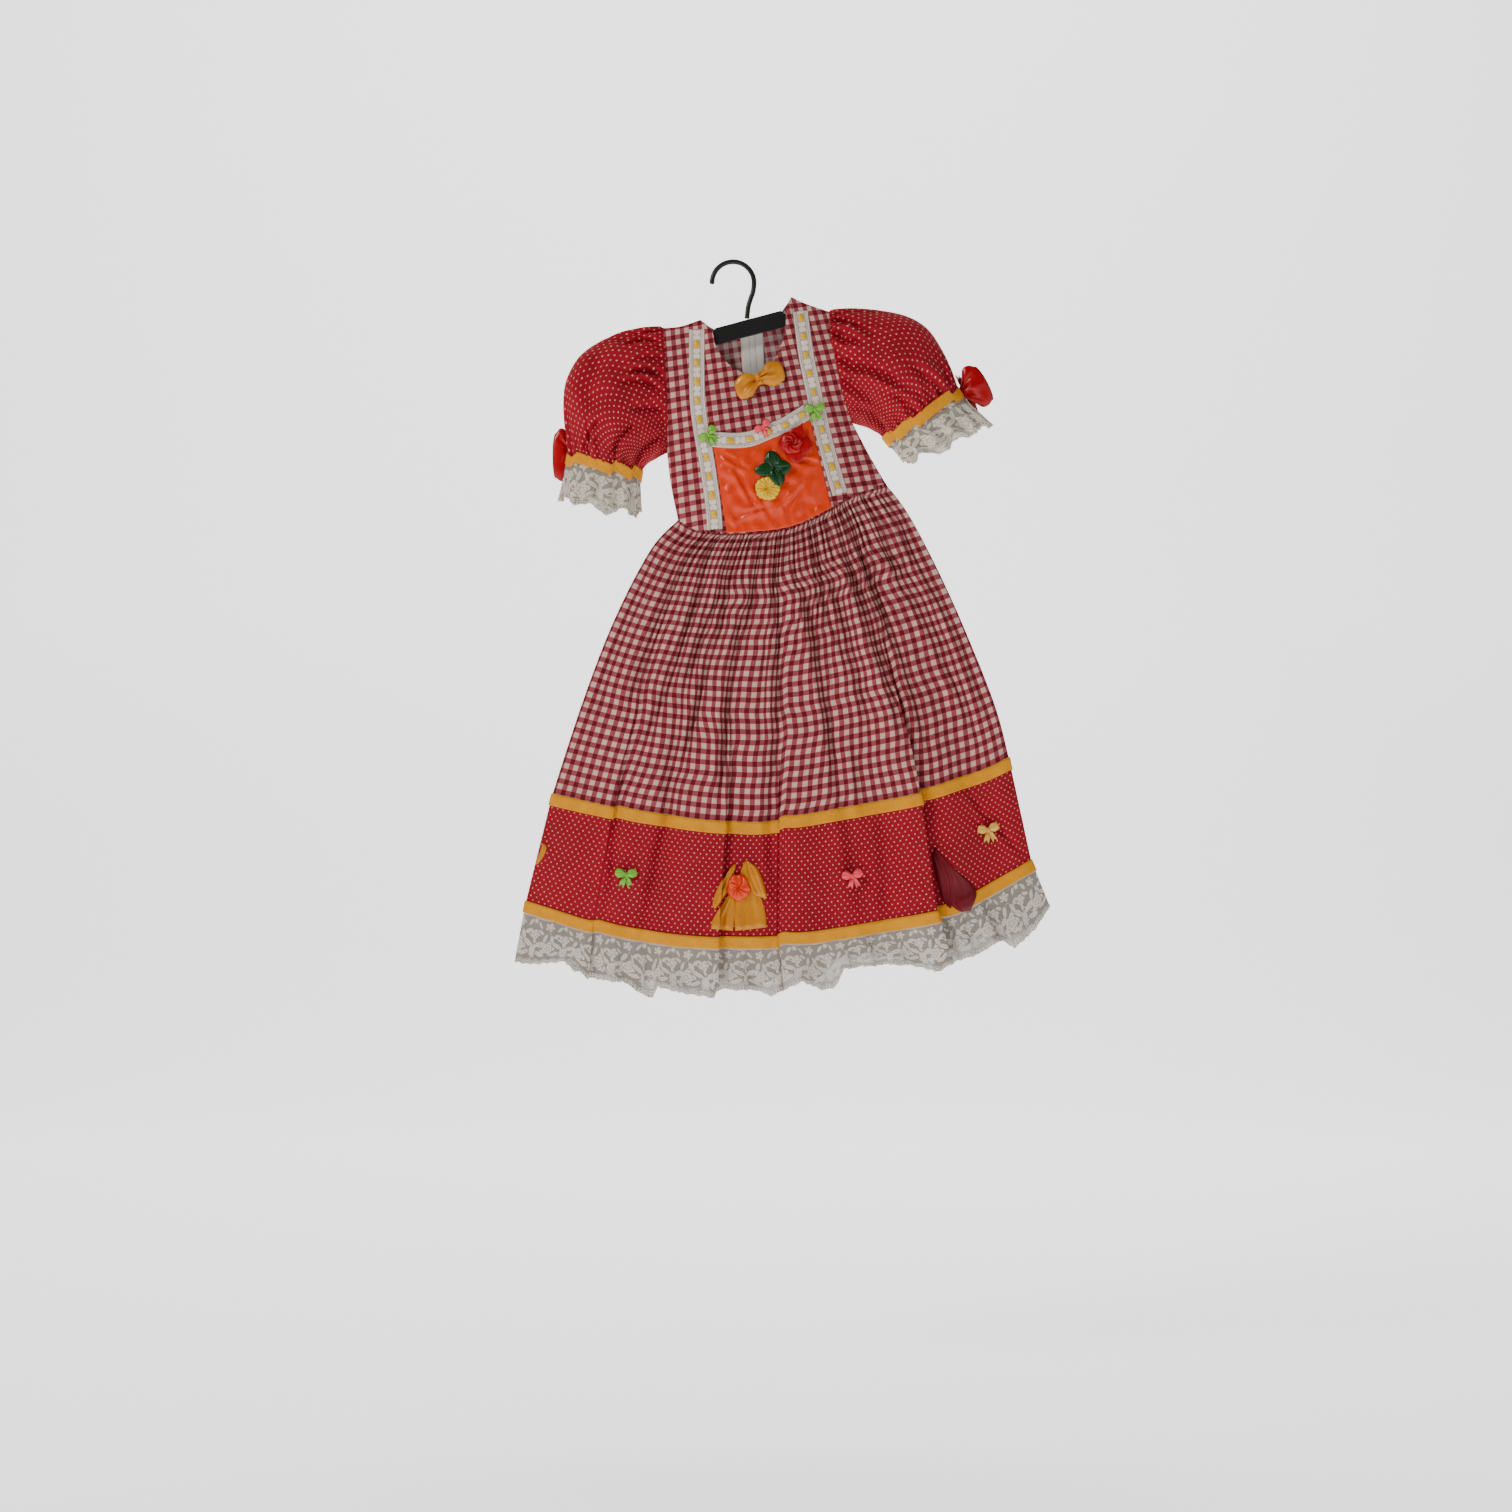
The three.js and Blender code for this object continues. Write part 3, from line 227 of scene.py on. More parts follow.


# %% [markdown]
# A crease in worn cotton isn't a plain groove: it sinks on one side and swells on the other, and
# it fades out at both ends. Each one is drawn as a short path with its own depth and width, and
# pushes the cloth in or out according to the distance from that path.

# %% Creases drawn as paths
def beside_path(x, z, path):
    """Signed distance of each place from the path, and how far along the path it is, 0 to 1."""
    path = np.array(path, float)
    lengths = np.linalg.norm(np.diff(path, axis=0), axis=1)
    total = lengths.sum()
    best = np.full(x.shape, 1e9)
    signed = np.zeros(x.shape)
    along = np.zeros(x.shape)
    done = 0.0
    for a, b, length in zip(path[:-1], path[1:], lengths):
        d = (b - a) / length
        t = np.clip((x - a[0]) * d[0] + (z - a[1]) * d[1], 0, length)
        dx, dz = x - a[0] - t * d[0], z - a[1] - t * d[1]
        gap = np.hypot(dx, dz)
        near = gap < best
        best = np.where(near, gap, best)
        signed = np.where(near, np.sign(dx * d[1] - dz * d[0]) * gap, signed)
        along = np.where(near, (done + t) / total, along)
        done += length
    return signed, along


def crease(x, z, path, depth, width):
    """How far the cloth at x, z moves out because of one crease, in millimetres."""
    signed, along = beside_path(x, z, path)
    fade = smooth(along / 0.25) * smooth((1 - along) / 0.3) * 0.85 + 0.15
    trough = np.exp(-((signed / width) ** 2))
    swell = np.exp(-(((signed - 1.7 * width) / (1.2 * width)) ** 2))
    return depth * fade * (0.55 * swell - trough)


def creases(x, z, rows):
    """All the creases of a sheet; each row is (depth, width, path)."""
    return sum((crease(x, z, path, depth, width) for depth, width, path in rows), np.zeros(x.shape))


def moved(rows, across, up):
    """Every second crease moved a little, for the other side of the cloth."""
    return [(depth, width, [(x + across, z + up) for x, z in path]) for depth, width, path in rows[1::2]]


def soft_waves(a, b, seed, count, longest, height):
    """A gentle unevenness: a few long waves in random directions, the same on every run."""
    random = np.random.default_rng(seed)
    total = np.zeros(np.broadcast(a, b).shape)
    for _ in range(count):
        turn, phase = random.uniform(0, 2 * math.pi, 2)
        size = longest * random.uniform(0.45, 1.0)
        total += np.sin(2 * math.pi * (a * math.cos(turn) + b * math.sin(turn)) / size + phase)
    return total * height / math.sqrt(count)


# %% [markdown]
# A finished sheet is a grid of points with a cloth map: how far along and down the flat cloth
# each point was, in metres. Solidify gives it the thickness of real cotton.

# %% From a grid to a piece of cloth
BODY = "dress"
COTTON = 0.5
made = {}
kept = {}
flat_sizes = {}


def keep(name, piece, stands_for=(), body=BODY):
    """The piece is listed, with the nodes it stands for and the body it rides on."""
    made[name] = piece
    piece["body"] = body
    piece["stands_for"] = list(stands_for)


def thicken(piece, thick):
    wall = piece.modifiers.new("thickness", "SOLIDIFY")
    wall.thickness = thick * MM
    wall.offset = 0
    return wall


def outward(points, side):
    """The direction out of the cloth at each point; side is -1 on the front and 1 on the back."""
    down, across = np.gradient(points, axis=0), np.gradient(points, axis=1)
    normal = unit(np.cross(across, down))
    return normal * np.sign((normal[..., 1] * side).mean())


def cloth(name, points, uv, materials, cut, thick=COTTON, ring=0, flip=False):
    """Rows and columns of points in millimetres become the cloth of the node called name. uv is the
    place across and down the flat cloth, cut is its flat size, and ring the length round a tube."""
    rows, columns = points.shape[:2]
    wrap = columns if ring else columns - 1
    r, c = np.meshgrid(np.arange(rows - 1), np.arange(wrap), indexing="ij")
    a = (r * columns + c).ravel()
    b = (r * columns + (c + 1) % columns).ravel()
    faces = np.stack([a, b, b + columns, a + columns] if flip else [a, a + columns, b + columns, b], -1)
    piece = mesh_object(f"{name}_cloth", points.reshape(-1, 3) * MM, faces)
    layer = piece.data.uv_layers.new(name="cloth")
    corner = np.zeros(len(piece.data.loops), int)
    piece.data.loops.foreach_get("vertex_index", corner)
    flat = np.stack(np.broadcast_arrays(*uv), -1).reshape(-1, 2)[corner]
    if ring:
        last_column = np.repeat(a % columns == columns - 1, 4)
        flat[last_column & (corner % columns == 0), 0] += ring
    layer.data.foreach_set("uv", flat.ravel() * MM)
    for material in materials:
        piece.data.materials.append(material)
    if thick:
        thicken(piece, thick).material_offset = len(materials) - 1
    flat_sizes[name] = cut
    kept[name] = points
    keep(name, piece, [name])


def length_down(points):
    """Distances down every column of a grid, in millimetres."""
    steps = np.linalg.norm(np.diff(points, axis=0), axis=-1)
    return np.concatenate([np.zeros((1, points.shape[1])), np.cumsum(steps, axis=0)])


# %% [markdown]
# Shader patterns are sums and products of the cloth map. A tiny class lets a pattern be written
# as plain arithmetic, and builds the Math nodes for it.

# %% Patterns written as arithmetic
class Value:
    """A number that flows through a node tree and can be added, scaled and compared."""

    def __init__(self, tree, socket):
        self.tree, self.socket = tree, socket

    def math(self, operation, *others):
        node = self.tree.nodes.new("ShaderNodeMath")
        node.operation = operation
        for slot, value in zip(node.inputs, (self, *others)):
            if isinstance(value, Value):
                self.tree.links.new(value.socket, slot)
            else:
                slot.default_value = value
        return Value(self.tree, node.outputs[0])

    def __add__(self, other):
        return self.math("ADD", other)

    def __sub__(self, other):
        return self.math("SUBTRACT", other)

    def __mul__(self, other):
        return self.math("MULTIPLY", other)

    def __truediv__(self, other):
        return self.math("DIVIDE", other)

    def __neg__(self):
        return self * -1.0

    def repeat(self, period):
        """The place within one repeat, from minus to plus half of the period."""
        return (self / period + 0.5).math("FRACT") * period - period / 2

    def below(self, limit, soft):
        """1 below the limit and 0 above it, with a soft edge."""
        node = self.tree.nodes.new("ShaderNodeMapRange")
        node.interpolation_type = "SMOOTHSTEP"
        node.inputs["From Min"].default_value = -soft
        node.inputs["From Max"].default_value = soft
        node.inputs["To Min"].default_value = 1
        node.inputs["To Max"].default_value = 0
        self.tree.links.new((self - limit).socket, node.inputs["Value"])
        return Value(self.tree, node.outputs[0])

    def max(self, other):
        return self.math("MAXIMUM", other)

    def min(self, other):
        return self.math("MINIMUM", other)

    def sin(self, wave, phase=0.0):
        return (self * (2 * math.pi / wave) + phase).math("SINE")


class Finish:
    """A material under construction: its map, its patterns and its shader."""

    def __init__(self, name, **constants):
        self.material = bpy.data.materials.new(name)
        self.material.use_nodes = True
        self.tree = self.material.node_tree
        self.shader = self.tree.nodes["Principled BSDF"]
        for key, value in constants.items():
            self.shader.inputs[key.replace("_", " ")].default_value = value

    def cloth_map(self):
        """Places on the flat cloth, in millimetres across and down."""
        node = self.tree.nodes.new("ShaderNodeUVMap")
        node.uv_map = "cloth"
        self.map_socket = node.outputs["UV"]
        parts = self.tree.nodes.new("ShaderNodeSeparateXYZ")
        self.tree.links.new(node.outputs["UV"], parts.inputs[0])
        return tuple(Value(self.tree, part) * (1 / MM) for part in parts.outputs[:2])

    def noise(self, size_mm, detail=2.0, socket=None):
        """Soft spots of about that size, laid in the room or else on the given map."""
        node = self.tree.nodes.new("ShaderNodeTexNoise")
        node.inputs["Scale"].default_value = 1 / MM / size_mm
        node.inputs["Detail"].default_value = detail
        node.inputs["Roughness"].default_value = 0.55
        place = socket or self.tree.nodes.new("ShaderNodeTexCoord").outputs["Object"]
        self.tree.links.new(place, node.inputs["Vector"])
        return Value(self.tree, node.outputs["Fac"])

    def net(self, size_mm, thread):
        """The threads of a fine net, laid on the cloth map."""
        node = self.tree.nodes.new("ShaderNodeTexVoronoi")
        node.feature = "DISTANCE_TO_EDGE"
        node.inputs["Scale"].default_value = 1 / MM / size_mm
        self.tree.links.new(self.map_socket, node.inputs["Vector"])
        return Value(self.tree, node.outputs["Distance"]).below(thread, 0.06)

    def blend(self, fac, first, second, kind="MIX"):
        """Two colours mixed by a value; each is a colour or the result of another blend."""
        node = self.tree.nodes.new("ShaderNodeMix")
        node.data_type = "RGBA"
        node.blend_type = kind
        for slot, value in ((node.inputs[6], first), (node.inputs[7], second)):
            if isinstance(value, bpy.types.NodeSocket):
                self.tree.links.new(value, slot)
            else:
                slot.default_value = value
        if isinstance(fac, Value):
            self.tree.links.new(fac.socket, node.inputs[0])
        else:
            node.inputs[0].default_value = fac
        return node.outputs[2]

    def colour(self, socket):
        self.tree.links.new(socket, self.shader.inputs["Base Color"])

    def relief(self, value, height_mm):
        node = self.tree.nodes.new("ShaderNodeBump")
        node.inputs["Distance"].default_value = height_mm * MM
        node.inputs["Strength"].default_value = 1.0
        self.tree.links.new(value.socket, node.inputs["Height"])
        self.tree.links.new(node.outputs[0], self.shader.inputs["Normal"])

    def alpha(self, value):
        self.tree.links.new(value.socket, self.shader.inputs["Alpha"])


def plain_finish(name, patch, dark, light, grain=None, height=0.0, detail=3.0, **constants):
    """Two tones in soft patches of that size, over a fine grain of that height."""
    f = Finish(name, **constants)
    f.colour(f.blend(f.noise(patch, detail), linear(*dark), linear(*light)))
    if grain:
        f.relief(f.noise(grain, 2), height)
    return f.material


# %% [markdown]
# One band is a quarter of an inch wide.

# %% Gingham
BAND_WIDTH = 6.35
CHECK = 2 * BAND_WIDTH
THREAD = 0.55


def gingham(name, dark, middle, light):
    f = Finish(name, Roughness=0.88, Specular_IOR_Level=0.3)
    u, v = f.cloth_map()
    wander = (f.noise(18, 1) - 0.5) * 0.7
    across = (u + wander).repeat(CHECK).math("ABSOLUTE").below(BAND_WIDTH / 2, 0.25)
    down = (v + wander).repeat(CHECK).math("ABSOLUTE").below(BAND_WIDTH / 2, 0.25)
    both = across * down
    either = across.max(down) - both
    hatch = ((u + v).sin(1.6) * 0.22 + 0.5).min(1.0)
    yarn = f.noise(2.2, 3)
    tone = f.blend(hatch, middle[0], middle[1])
    colour = f.blend(either, light, tone)
    colour = f.blend(both, colour, dark)
    slub = (yarn - 0.5) * 0.5 + 1.0
    shade = f.blend(f.noise(90, 2), linear(226, 214, 210), linear(255, 255, 255))
    colour = f.blend(0.75, colour, shade, "MULTIPLY")
    grey = f.tree.nodes.new("ShaderNodeCombineColor")
    for slot in grey.inputs[:3]:
        f.tree.links.new(slub.socket, slot)
    f.colour(f.blend(0.35, colour, grey.outputs[0], "MULTIPLY"))
    weave = u.sin(THREAD) * v.sin(THREAD)
    f.relief(weave * 0.3 + f.noise(6, 3) * 1.2, 0.25)
    return f.material


check_cotton = gingham(
    "check_cotton", linear(108, 0, 24), (linear(146, 34, 54), linear(180, 94, 100)), linear(222, 188, 174)
)
check_inside = gingham(
    "check_inside", linear(160, 60, 74), (linear(190, 128, 132), linear(202, 150, 150)), linear(222, 200, 194)
)
CHECK_CLOTH = (check_cotton, check_inside)
print("check repeat", CHECK, "mm")

# %% [markdown]
# The band and the sleeves are a printed red cotton with cream pin dots in a staggered lattice.
# The ink sits on the threads, so a few dots are weaker than others.

# %% Dotted cotton
DOT_ACROSS, DOT_DOWN = 7.8, 9.6
DOT_RADIUS = 0.85


def dotted(name, ground, deep, dot):
    f = Finish(name, Roughness=0.85, Specular_IOR_Level=0.3)
    u, v = f.cloth_map()
    spots = None
    for half in (0.0, 0.5):
        du, dv = (u + half * DOT_ACROSS).repeat(DOT_ACROSS), (v + half * DOT_DOWN).repeat(DOT_DOWN)
        near = (du * du + dv * dv).math("SQRT").below(DOT_RADIUS, 0.3)
        spots = near if spots is None else spots.max(near)
    ink = f.noise(9, 2).math("SUBTRACT", 0.5) * 0.9 + 0.85
    cloth_colour = f.blend(f.noise(60, 3), deep, ground)
    cloth_colour = f.blend((f.noise(1.6, 2) - 0.35) * 0.35, cloth_colour, linear(84, 0, 12))
    f.colour(f.blend((spots * ink).min(1.0), cloth_colour, dot))
    f.relief(u.sin(0.5) * v.sin(0.5) * 0.25 + f.noise(7, 3) * 1.2, 0.25)
    return f.material


dotted_cotton = dotted("dotted_cotton", linear(172, 0, 34), linear(138, 0, 26), linear(232, 176, 150))

# %% [markdown]
# The bias tape is a matt folded cotton, a little puckered where it is sewn, and duller in places.
# Its stitches are made later as real thread.

# %% Bias tape
def tape_finish(name, bright, dull):
    f = Finish(name, Roughness=0.8, Specular_IOR_Level=0.3)
    u, v = f.cloth_map()
    pucker = u.sin(3.1) * 0.5 + (u + v * 0.6).sin(7.3, 1.0) * 0.5
    f.colour(f.blend(f.noise(14, 3), dull, bright))
    f.relief(pucker * 0.35 + f.noise(3, 3) * 1.0 + u.sin(0.5) * v.sin(0.5) * 0.15, 0.5)
    return f.material


yellow_tape = tape_finish("yellow_tape", linear(246, 170, 0), linear(216, 132, 0))

# %% [markdown]
# Satin shows its folds by a broad, silky highlight, so it has a low roughness, a highlight tinted
# like the ribbon and a very fine grain.

# %% Satin
def satin(name, bright, deep, rough=0.27):
    silk = [0.35 + 0.65 * c for c in bright[:3]] + [1.0]
    f = Finish(name, Roughness=rough, Specular_IOR_Level=1.0, Specular_Tint=silk)
    f.colour(f.blend(f.noise(16, 3), deep, bright))
    f.relief(f.noise(2.5, 2) * 0.7 + f.noise(0.6, 1) * 0.25, 0.3)
    return f.material


satins = {
    "orange": satin("orange_satin", linear(236, 66, 6), linear(204, 40, 0)),
    "red": satin("red_satin", linear(190, 0, 16), linear(124, 0, 10)),
    "yellow": satin("yellow_satin", linear(224, 146, 6), linear(176, 98, 0)),
    "bright_yellow": satin("yoyo_satin", linear(246, 204, 0), linear(200, 146, 0)),
    "green": satin("green_satin", linear(12, 70, 26), linear(4, 34, 12)),
    "lime": satin("lime_satin", linear(132, 198, 62), linear(88, 156, 40)),
    "pink": satin("pink_satin", linear(250, 80, 96), linear(226, 48, 72)),
    "cream": satin("cream_satin", linear(238, 186, 84), linear(208, 146, 50)),
    "wine": satin("wine_satin", linear(128, 0, 24), linear(76, 0, 12), 0.4),
}
print("satins", len(satins))

# %% [markdown]
# These are the seams and edges of the dress as it hangs, as the solids have them. The dress is
# tilted on its hanger, so neither side is the mirror of the other.

# %% Seams and edges, x and z in millimetres
WAIST = [
    (-67, -312), (-46, -325), (-12, -330), (24, -329), (55, -326), (81, -319), (121, -299), (142, -285),
    (187, -269),
]
UPPER_TAPE = [
    (-221, -648), (-142, -665), (-89, -673), (-22, -681), (46, -682), (140, -665), (226, -648),
    (272, -632), (307, -620), (337, -605),
]
LOWER_TAPE = [
    (-253, -778), (-215, -789), (-175, -801), (-101, -814), (-28, -820), (68, -819), (150, -807),
    (251, -788), (295, -768), (364, -729),
]
LACE_HEM = [
    (-267, -851), (-220, -860), (-178, -871), (-98, -888), (-20, -889), (46, -891), (124, -880),
    (177, -864), (261, -853), (323, -833), (387, -783),
]
SKIRT_LEFT = [(-67, -312), (-101, -349), (-145, -434), (-183, -532), (-221, -648)]
SKIRT_RIGHT = [(187, -269), (218, -312), (267, -410), (317, -532), (337, -605)]
SIDE_LEFT = [(-67, -312), (-76, -268), (-80.5, -229)]
SIDE_RIGHT = [(187, -269), (165, -231), (145, -192.5)]
ARMHOLE_LEFT = [(-80.5, -229), (-80, -190), (-82, -125), (-85, -78)]
ARMHOLE_RIGHT = [(145, -192.5), (134, -160), (123, -110), (117, -58)]
SHOULDER_LEFT = [(-85, -78), (-64, -76), (-40, -68)]
SHOULDER_RIGHT = [(71, -40), (88, -48), (117, -58)]
NECK_FRONT = [
    (-40, -68), (-26, -82), (-20, -104), (-6, -123), (14, -135), (30, -137), (46, -126), (58, -104),
    (64, -80), (65, -58), (71, -40),
]
NECK_BACK = [(-40, -68), (-26, -77), (-4, -85), (20, -85), (48, -71), (63, -52), (71, -40)]
STRIP_LEFT = [(-44, -80), (-44, -123), (-43, -169), (-38, -208), (-31, -246), (-24, -296), (-22, -325)]
STRIP_RIGHT = [(82, -58), (89, -113), (98, -157), (108, -201), (119, -244), (130, -282)]
STRIP_ACROSS = [(-25, -216), (-2, -218), (21, -216), (44, -207), (62, -200), (80, -189), (91, -182)]
# Rings of the sleeves and cuffs: x and z at the top, x and z at the bottom, half depth, fold.
SLEEVE_LEFT = [
    (-114, -79, -89, -234, 19, 0), (-148, -88, -95, -238, 25, 2), (-181, -107, -101, -241, 29, 4),
    (-202, -138, -105, -244, 30, 4), (-207, -172, -107.5, -246.5, 29, 3), (-204, -205, -110, -249, 26, 2),
    (-201, -233, -112, -252.5, 22, 0),
]
SLEEVE_RIGHT = [
    (143, -55, 151.5, -195, 19, 0), (179, -57, 159, -197.5, 25, 2), (213, -64, 166, -200, 29, 4),
    (238, -80, 172, -203.5, 30, 4), (255, -105, 177, -206, 29, 3), (266, -129, 180.5, -208.5, 26, 2),
    (273, -153.5, 184, -211, 22, 0),
]
CUFF_LEFT = [
    (-203, -244, -114, -264, 22, 0), (-206, -265, -115, -285, 25, 0), (-210, -287, -116, -306, 28, 0),
]
CUFF_RIGHT = [
    (279.5, -163, 191.5, -220.5, 22, 0), (296, -180, 203, -231, 25, 0), (313, -197, 214, -242, 28, 0),
]
print("edges of the bodice and skirt, and", len(SLEEVE_LEFT), "sections of each sleeve")

# %% [markdown]
# Each half of the skirt is one width of cloth, gathered on a thread and sewn to the bodice. The
# gathers are sharp and narrow at the waist, run out at different heights, and join into a few
# broad soft folds. Two of the folds lie over the cloth beside them, and step the hem.

# %% The skirt's surface
SEAM = 0.22
WAIST_DEPTH, HEM_DEPTH = 19, 36
GATHERS = 34
GATHER_HEIGHT, FOLD_HEIGHT = 4.0, 1.5
TAPE = 12
RUFFLE, RUFFLE_SWAY = 5.5, 3.2
BACK_HEM_RISE = 6
COLUMNS = 2 * GATHERS
# Broad troughs: place at the waist, place at the hem, how deep they are, width.
TROUGHS = {
    -1: [(0.2, 0.13, 9, 0.045), (0.3, 0.235, 10, 0.04), (0.46, 0.47, 7, 0.035), (0.54, 0.585, 6, 0.035),
         (0.62, 0.685, 9, 0.04), (0.83, 0.915, 9, 0.035)],
    1: [(0.16, 0.11, 8, 0.04), (0.27, 0.2, 7, 0.035), (0.42, 0.41, 10, 0.045), (0.58, 0.59, 7, 0.04),
        (0.73, 0.79, 9, 0.04), (0.86, 0.92, 6, 0.035)],
}
# Deep folds: the gather they start from, overlap, how far they stand out, how much the hem rises.
TUCKS = {
    -1: [(4, 6, 3, 3), (12, 12, 5, 1), (16, 6, 3, 5), (26, 20, 7, 6)],
    1: [(9, 12, 5, 2), (21, 15, 6, 3)],
}
HEM_SPAN = LOWER_TAPE[-1][0] - LOWER_TAPE[0][0]

waist_line = curve_through(WAIST)
level_lines = [curve_through(rows) for rows in (UPPER_TAPE, LOWER_TAPE, LACE_HEM)]
skirt_left, skirt_right = curve_through(SKIRT_LEFT), curve_through(SKIRT_RIGHT)


def skirt_outline(s, level):
    rise = np.clip(level, 0, 1)
    waist, seam = edge_at(waist_line, s), edge_at(level_lines[0], s)
    top = fill(waist, seam, skirt_left(level), skirt_right(level), s, rise)
    part = np.clip(level - 1, 0, 1)[..., None]
    middle = level_lines[0](s) * (1 - part) + level_lines[1](s) * part
    part = np.clip(level - 2, 0, None)[..., None]
    low = level_lines[1](s) * (1 - part) + level_lines[2](s) * part
    return np.where(level[..., None] <= 1, top, np.where(level[..., None] <= 2, middle, low))


def skirt_point(side, column, level):
    """The cloth's middle surface; level 0 is the waist, 1 and 2 the tapes and 3 the lace's edge."""
    column, level = np.broadcast_arrays(np.asarray(column, float), np.asarray(level, float))
    s = column / COLUMNS
    grown = np.clip(level, 0, 1)
    near_edge = np.minimum(1, 8 * np.minimum(s, 1 - s))
    depth = (WAIST_DEPTH + (HEM_DEPTH - WAIST_DEPTH) * np.minimum(1, level / 2)) * lens_shape(s)
    for at_waist, at_hem, sinks, width in TROUGHS[side]:
        depth = depth - sinks * grown * bump((s - at_waist - (at_hem - at_waist) * grown) / (2 * width))
    shift, lift = np.zeros(s.shape), np.zeros(s.shape)
    for gather, overlap, stands, shorter in TUCKS[side]:
        away = column / 2 - gather - 0.5
        reach = np.where(np.abs(away) < 0.5, 2 * away, np.sign(away) * np.exp((0.5 - np.abs(away)) / 1.2))
        pull = grown**1.5 * reach
        shift = shift - (overlap / HEM_SPAN + 1 / GATHERS) * 0.5 * pull
        depth = depth - stands * pull
        lift = lift + shorter * grown / np.maximum(away, 1) * smooth((away - 0.5) * 2)
    flat = skirt_outline(np.clip(s + shift, 0, 1), level)
    x, z = flat[..., 0], flat[..., 1] + lift
    wander = column + 0.5 * np.sin(column * 0.61 + side) + 0.35 * np.sin(column * 1.37)
    ends = 0.6 + 0.38 * np.sin(column * 0.83 + 2 * side) * np.cos(column * 0.29)
    fold = np.clip(1 - level / ends, 0, 1)
    fold = fold * (0.25 + 0.75 * smooth(level / 0.03))
    depth = depth + GATHER_HEIGHT * fold * near_edge * np.cos(math.pi * wander)
    broad = np.clip(level / 0.25, 0, 1) * np.clip(1.25 - level, 0, 1)
    depth = depth + FOLD_HEIGHT * broad * near_edge * np.cos(math.pi * wander / 3.1 + side)
    flute = np.clip(level - 2, 0, None) * near_edge
    turn = math.pi * (column + 0.9 * np.sin(column * 0.43)) / 2
    depth = depth + RUFFLE * flute * np.cos(turn)
    x = x + RUFFLE_SWAY * flute * np.sin(2 * turn + 0.6)
    if side > 0:
        z = z + BACK_HEM_RISE * level / 3 * smooth(10 * np.minimum(s, 1 - s))
    y = side * (SEAM + np.maximum(0, depth + 0.8 * near_edge))
    return np.stack([x, y, z], -1)


def level_below(side, column, level, distance):
    step = 0.01
    one = skirt_point(side, column, level)
    two = skirt_point(side, column, level + step)
    return level + distance / np.linalg.norm(two - one, axis=-1) * step


def press(points, side, rows, seed, height=0.5, size=70, push=1.0):
    """The points with their creases and a little unevenness, along the depth."""
    x, z = points[..., 0], points[..., 2]
    moved = creases(x, z, rows) * push + soft_waves(x, z, seed, 9, size, height)
    out = points.copy()
    edge = np.minimum(1, np.abs(points[..., 1]) / 6)
    out[..., 1] = side * np.maximum(SEAM, np.abs(points[..., 1]) + moved * edge)
    return out


# %% [markdown]
# The folds in the skirt's front were put in one by one: each row is a path down the cloth, with
# how deep and how wide the crease is, in millimetres. The back has the same sort of folds.

# %% Creases of the cotton: depth, width and path
SKIRT_CREASES = [
    (6, 7, [(8.5, -335.3), (-7.3, -382.8), (-26.8, -429.2), (-45.1, -476.8), (-62.2, -530.5)]),
    (3, 5, [(-64.7, -424.3), (-72, -459.7), (-84.2, -514.6)]),
    (4, 5, [(28.1, -382.8), (15.9, -447.5), (8.5, -485.3), (3.7, -530.5)]),
    (4.5, 5, [(53.7, -342.6), (46.4, -409.7), (42.7, -449.9), (37.8, -520.7)]),
    (3.5, 5, [(80.5, -375.5), (91.5, -419.4), (101.3, -462.1), (104.9, -491.4)]),
    (4, 5, [(101.3, -346.2), (108.6, -404.8), (118.3, -434.1), (134.2, -471.9), (147.6, -520.7)]),
    (6, 6, [
        (137.9, -346.2), (145.2, -380.4), (154.9, -412.1), (167.1, -451.2), (180.6, -491.4),
        (192.8, -524.4),
    ]),
    (4.5, 4.5, [(141.5, -323.1), (157.4, -365.8), (173.2, -408.5), (186.7, -443.8), (197.6, -478)]),
    (5.5, 6, [
        (169.6, -326.7), (192.8, -359.7), (217.2, -380.4), (229.4, -404.8), (242.8, -435.3), (266, -478),
        (279.4, -517),
    ]),
    (3, 5, [(207.4, -307.2), (213.5, -342.6), (226.9, -375.5)]),
    (3, 5, [(-128.1, -592.7), (-137.9, -641.5), (-141.5, -668.3), (-147.6, -751.3), (-162.3, -812.3)]),
    (4.5, 8, [(-59.8, -531.7), (-74.4, -617.1), (-79.3, -678.1), (-95.2, -751.3), (-111, -824.5)]),
    (4, 7, [(37.8, -520.7), (42.7, -604.9), (45.1, -690.3), (52.5, -775.7), (45.1, -830.6)]),
    (3, 9, [(104.9, -491.4), (118.3, -580.5), (140.3, -690.3), (157.4, -812.3)]),
    (2.5, 8, [(179.3, -653.7), (184.2, -726.9), (186.7, -812.3)]),
    (2.5, 4, [(281.8, -635.4), (307.4, -672), (356.2, -723.2)]),
    (2.5, 6, [(-211.1, -617.1), (-196.4, -531.7), (-162.3, -458.5)]),
]
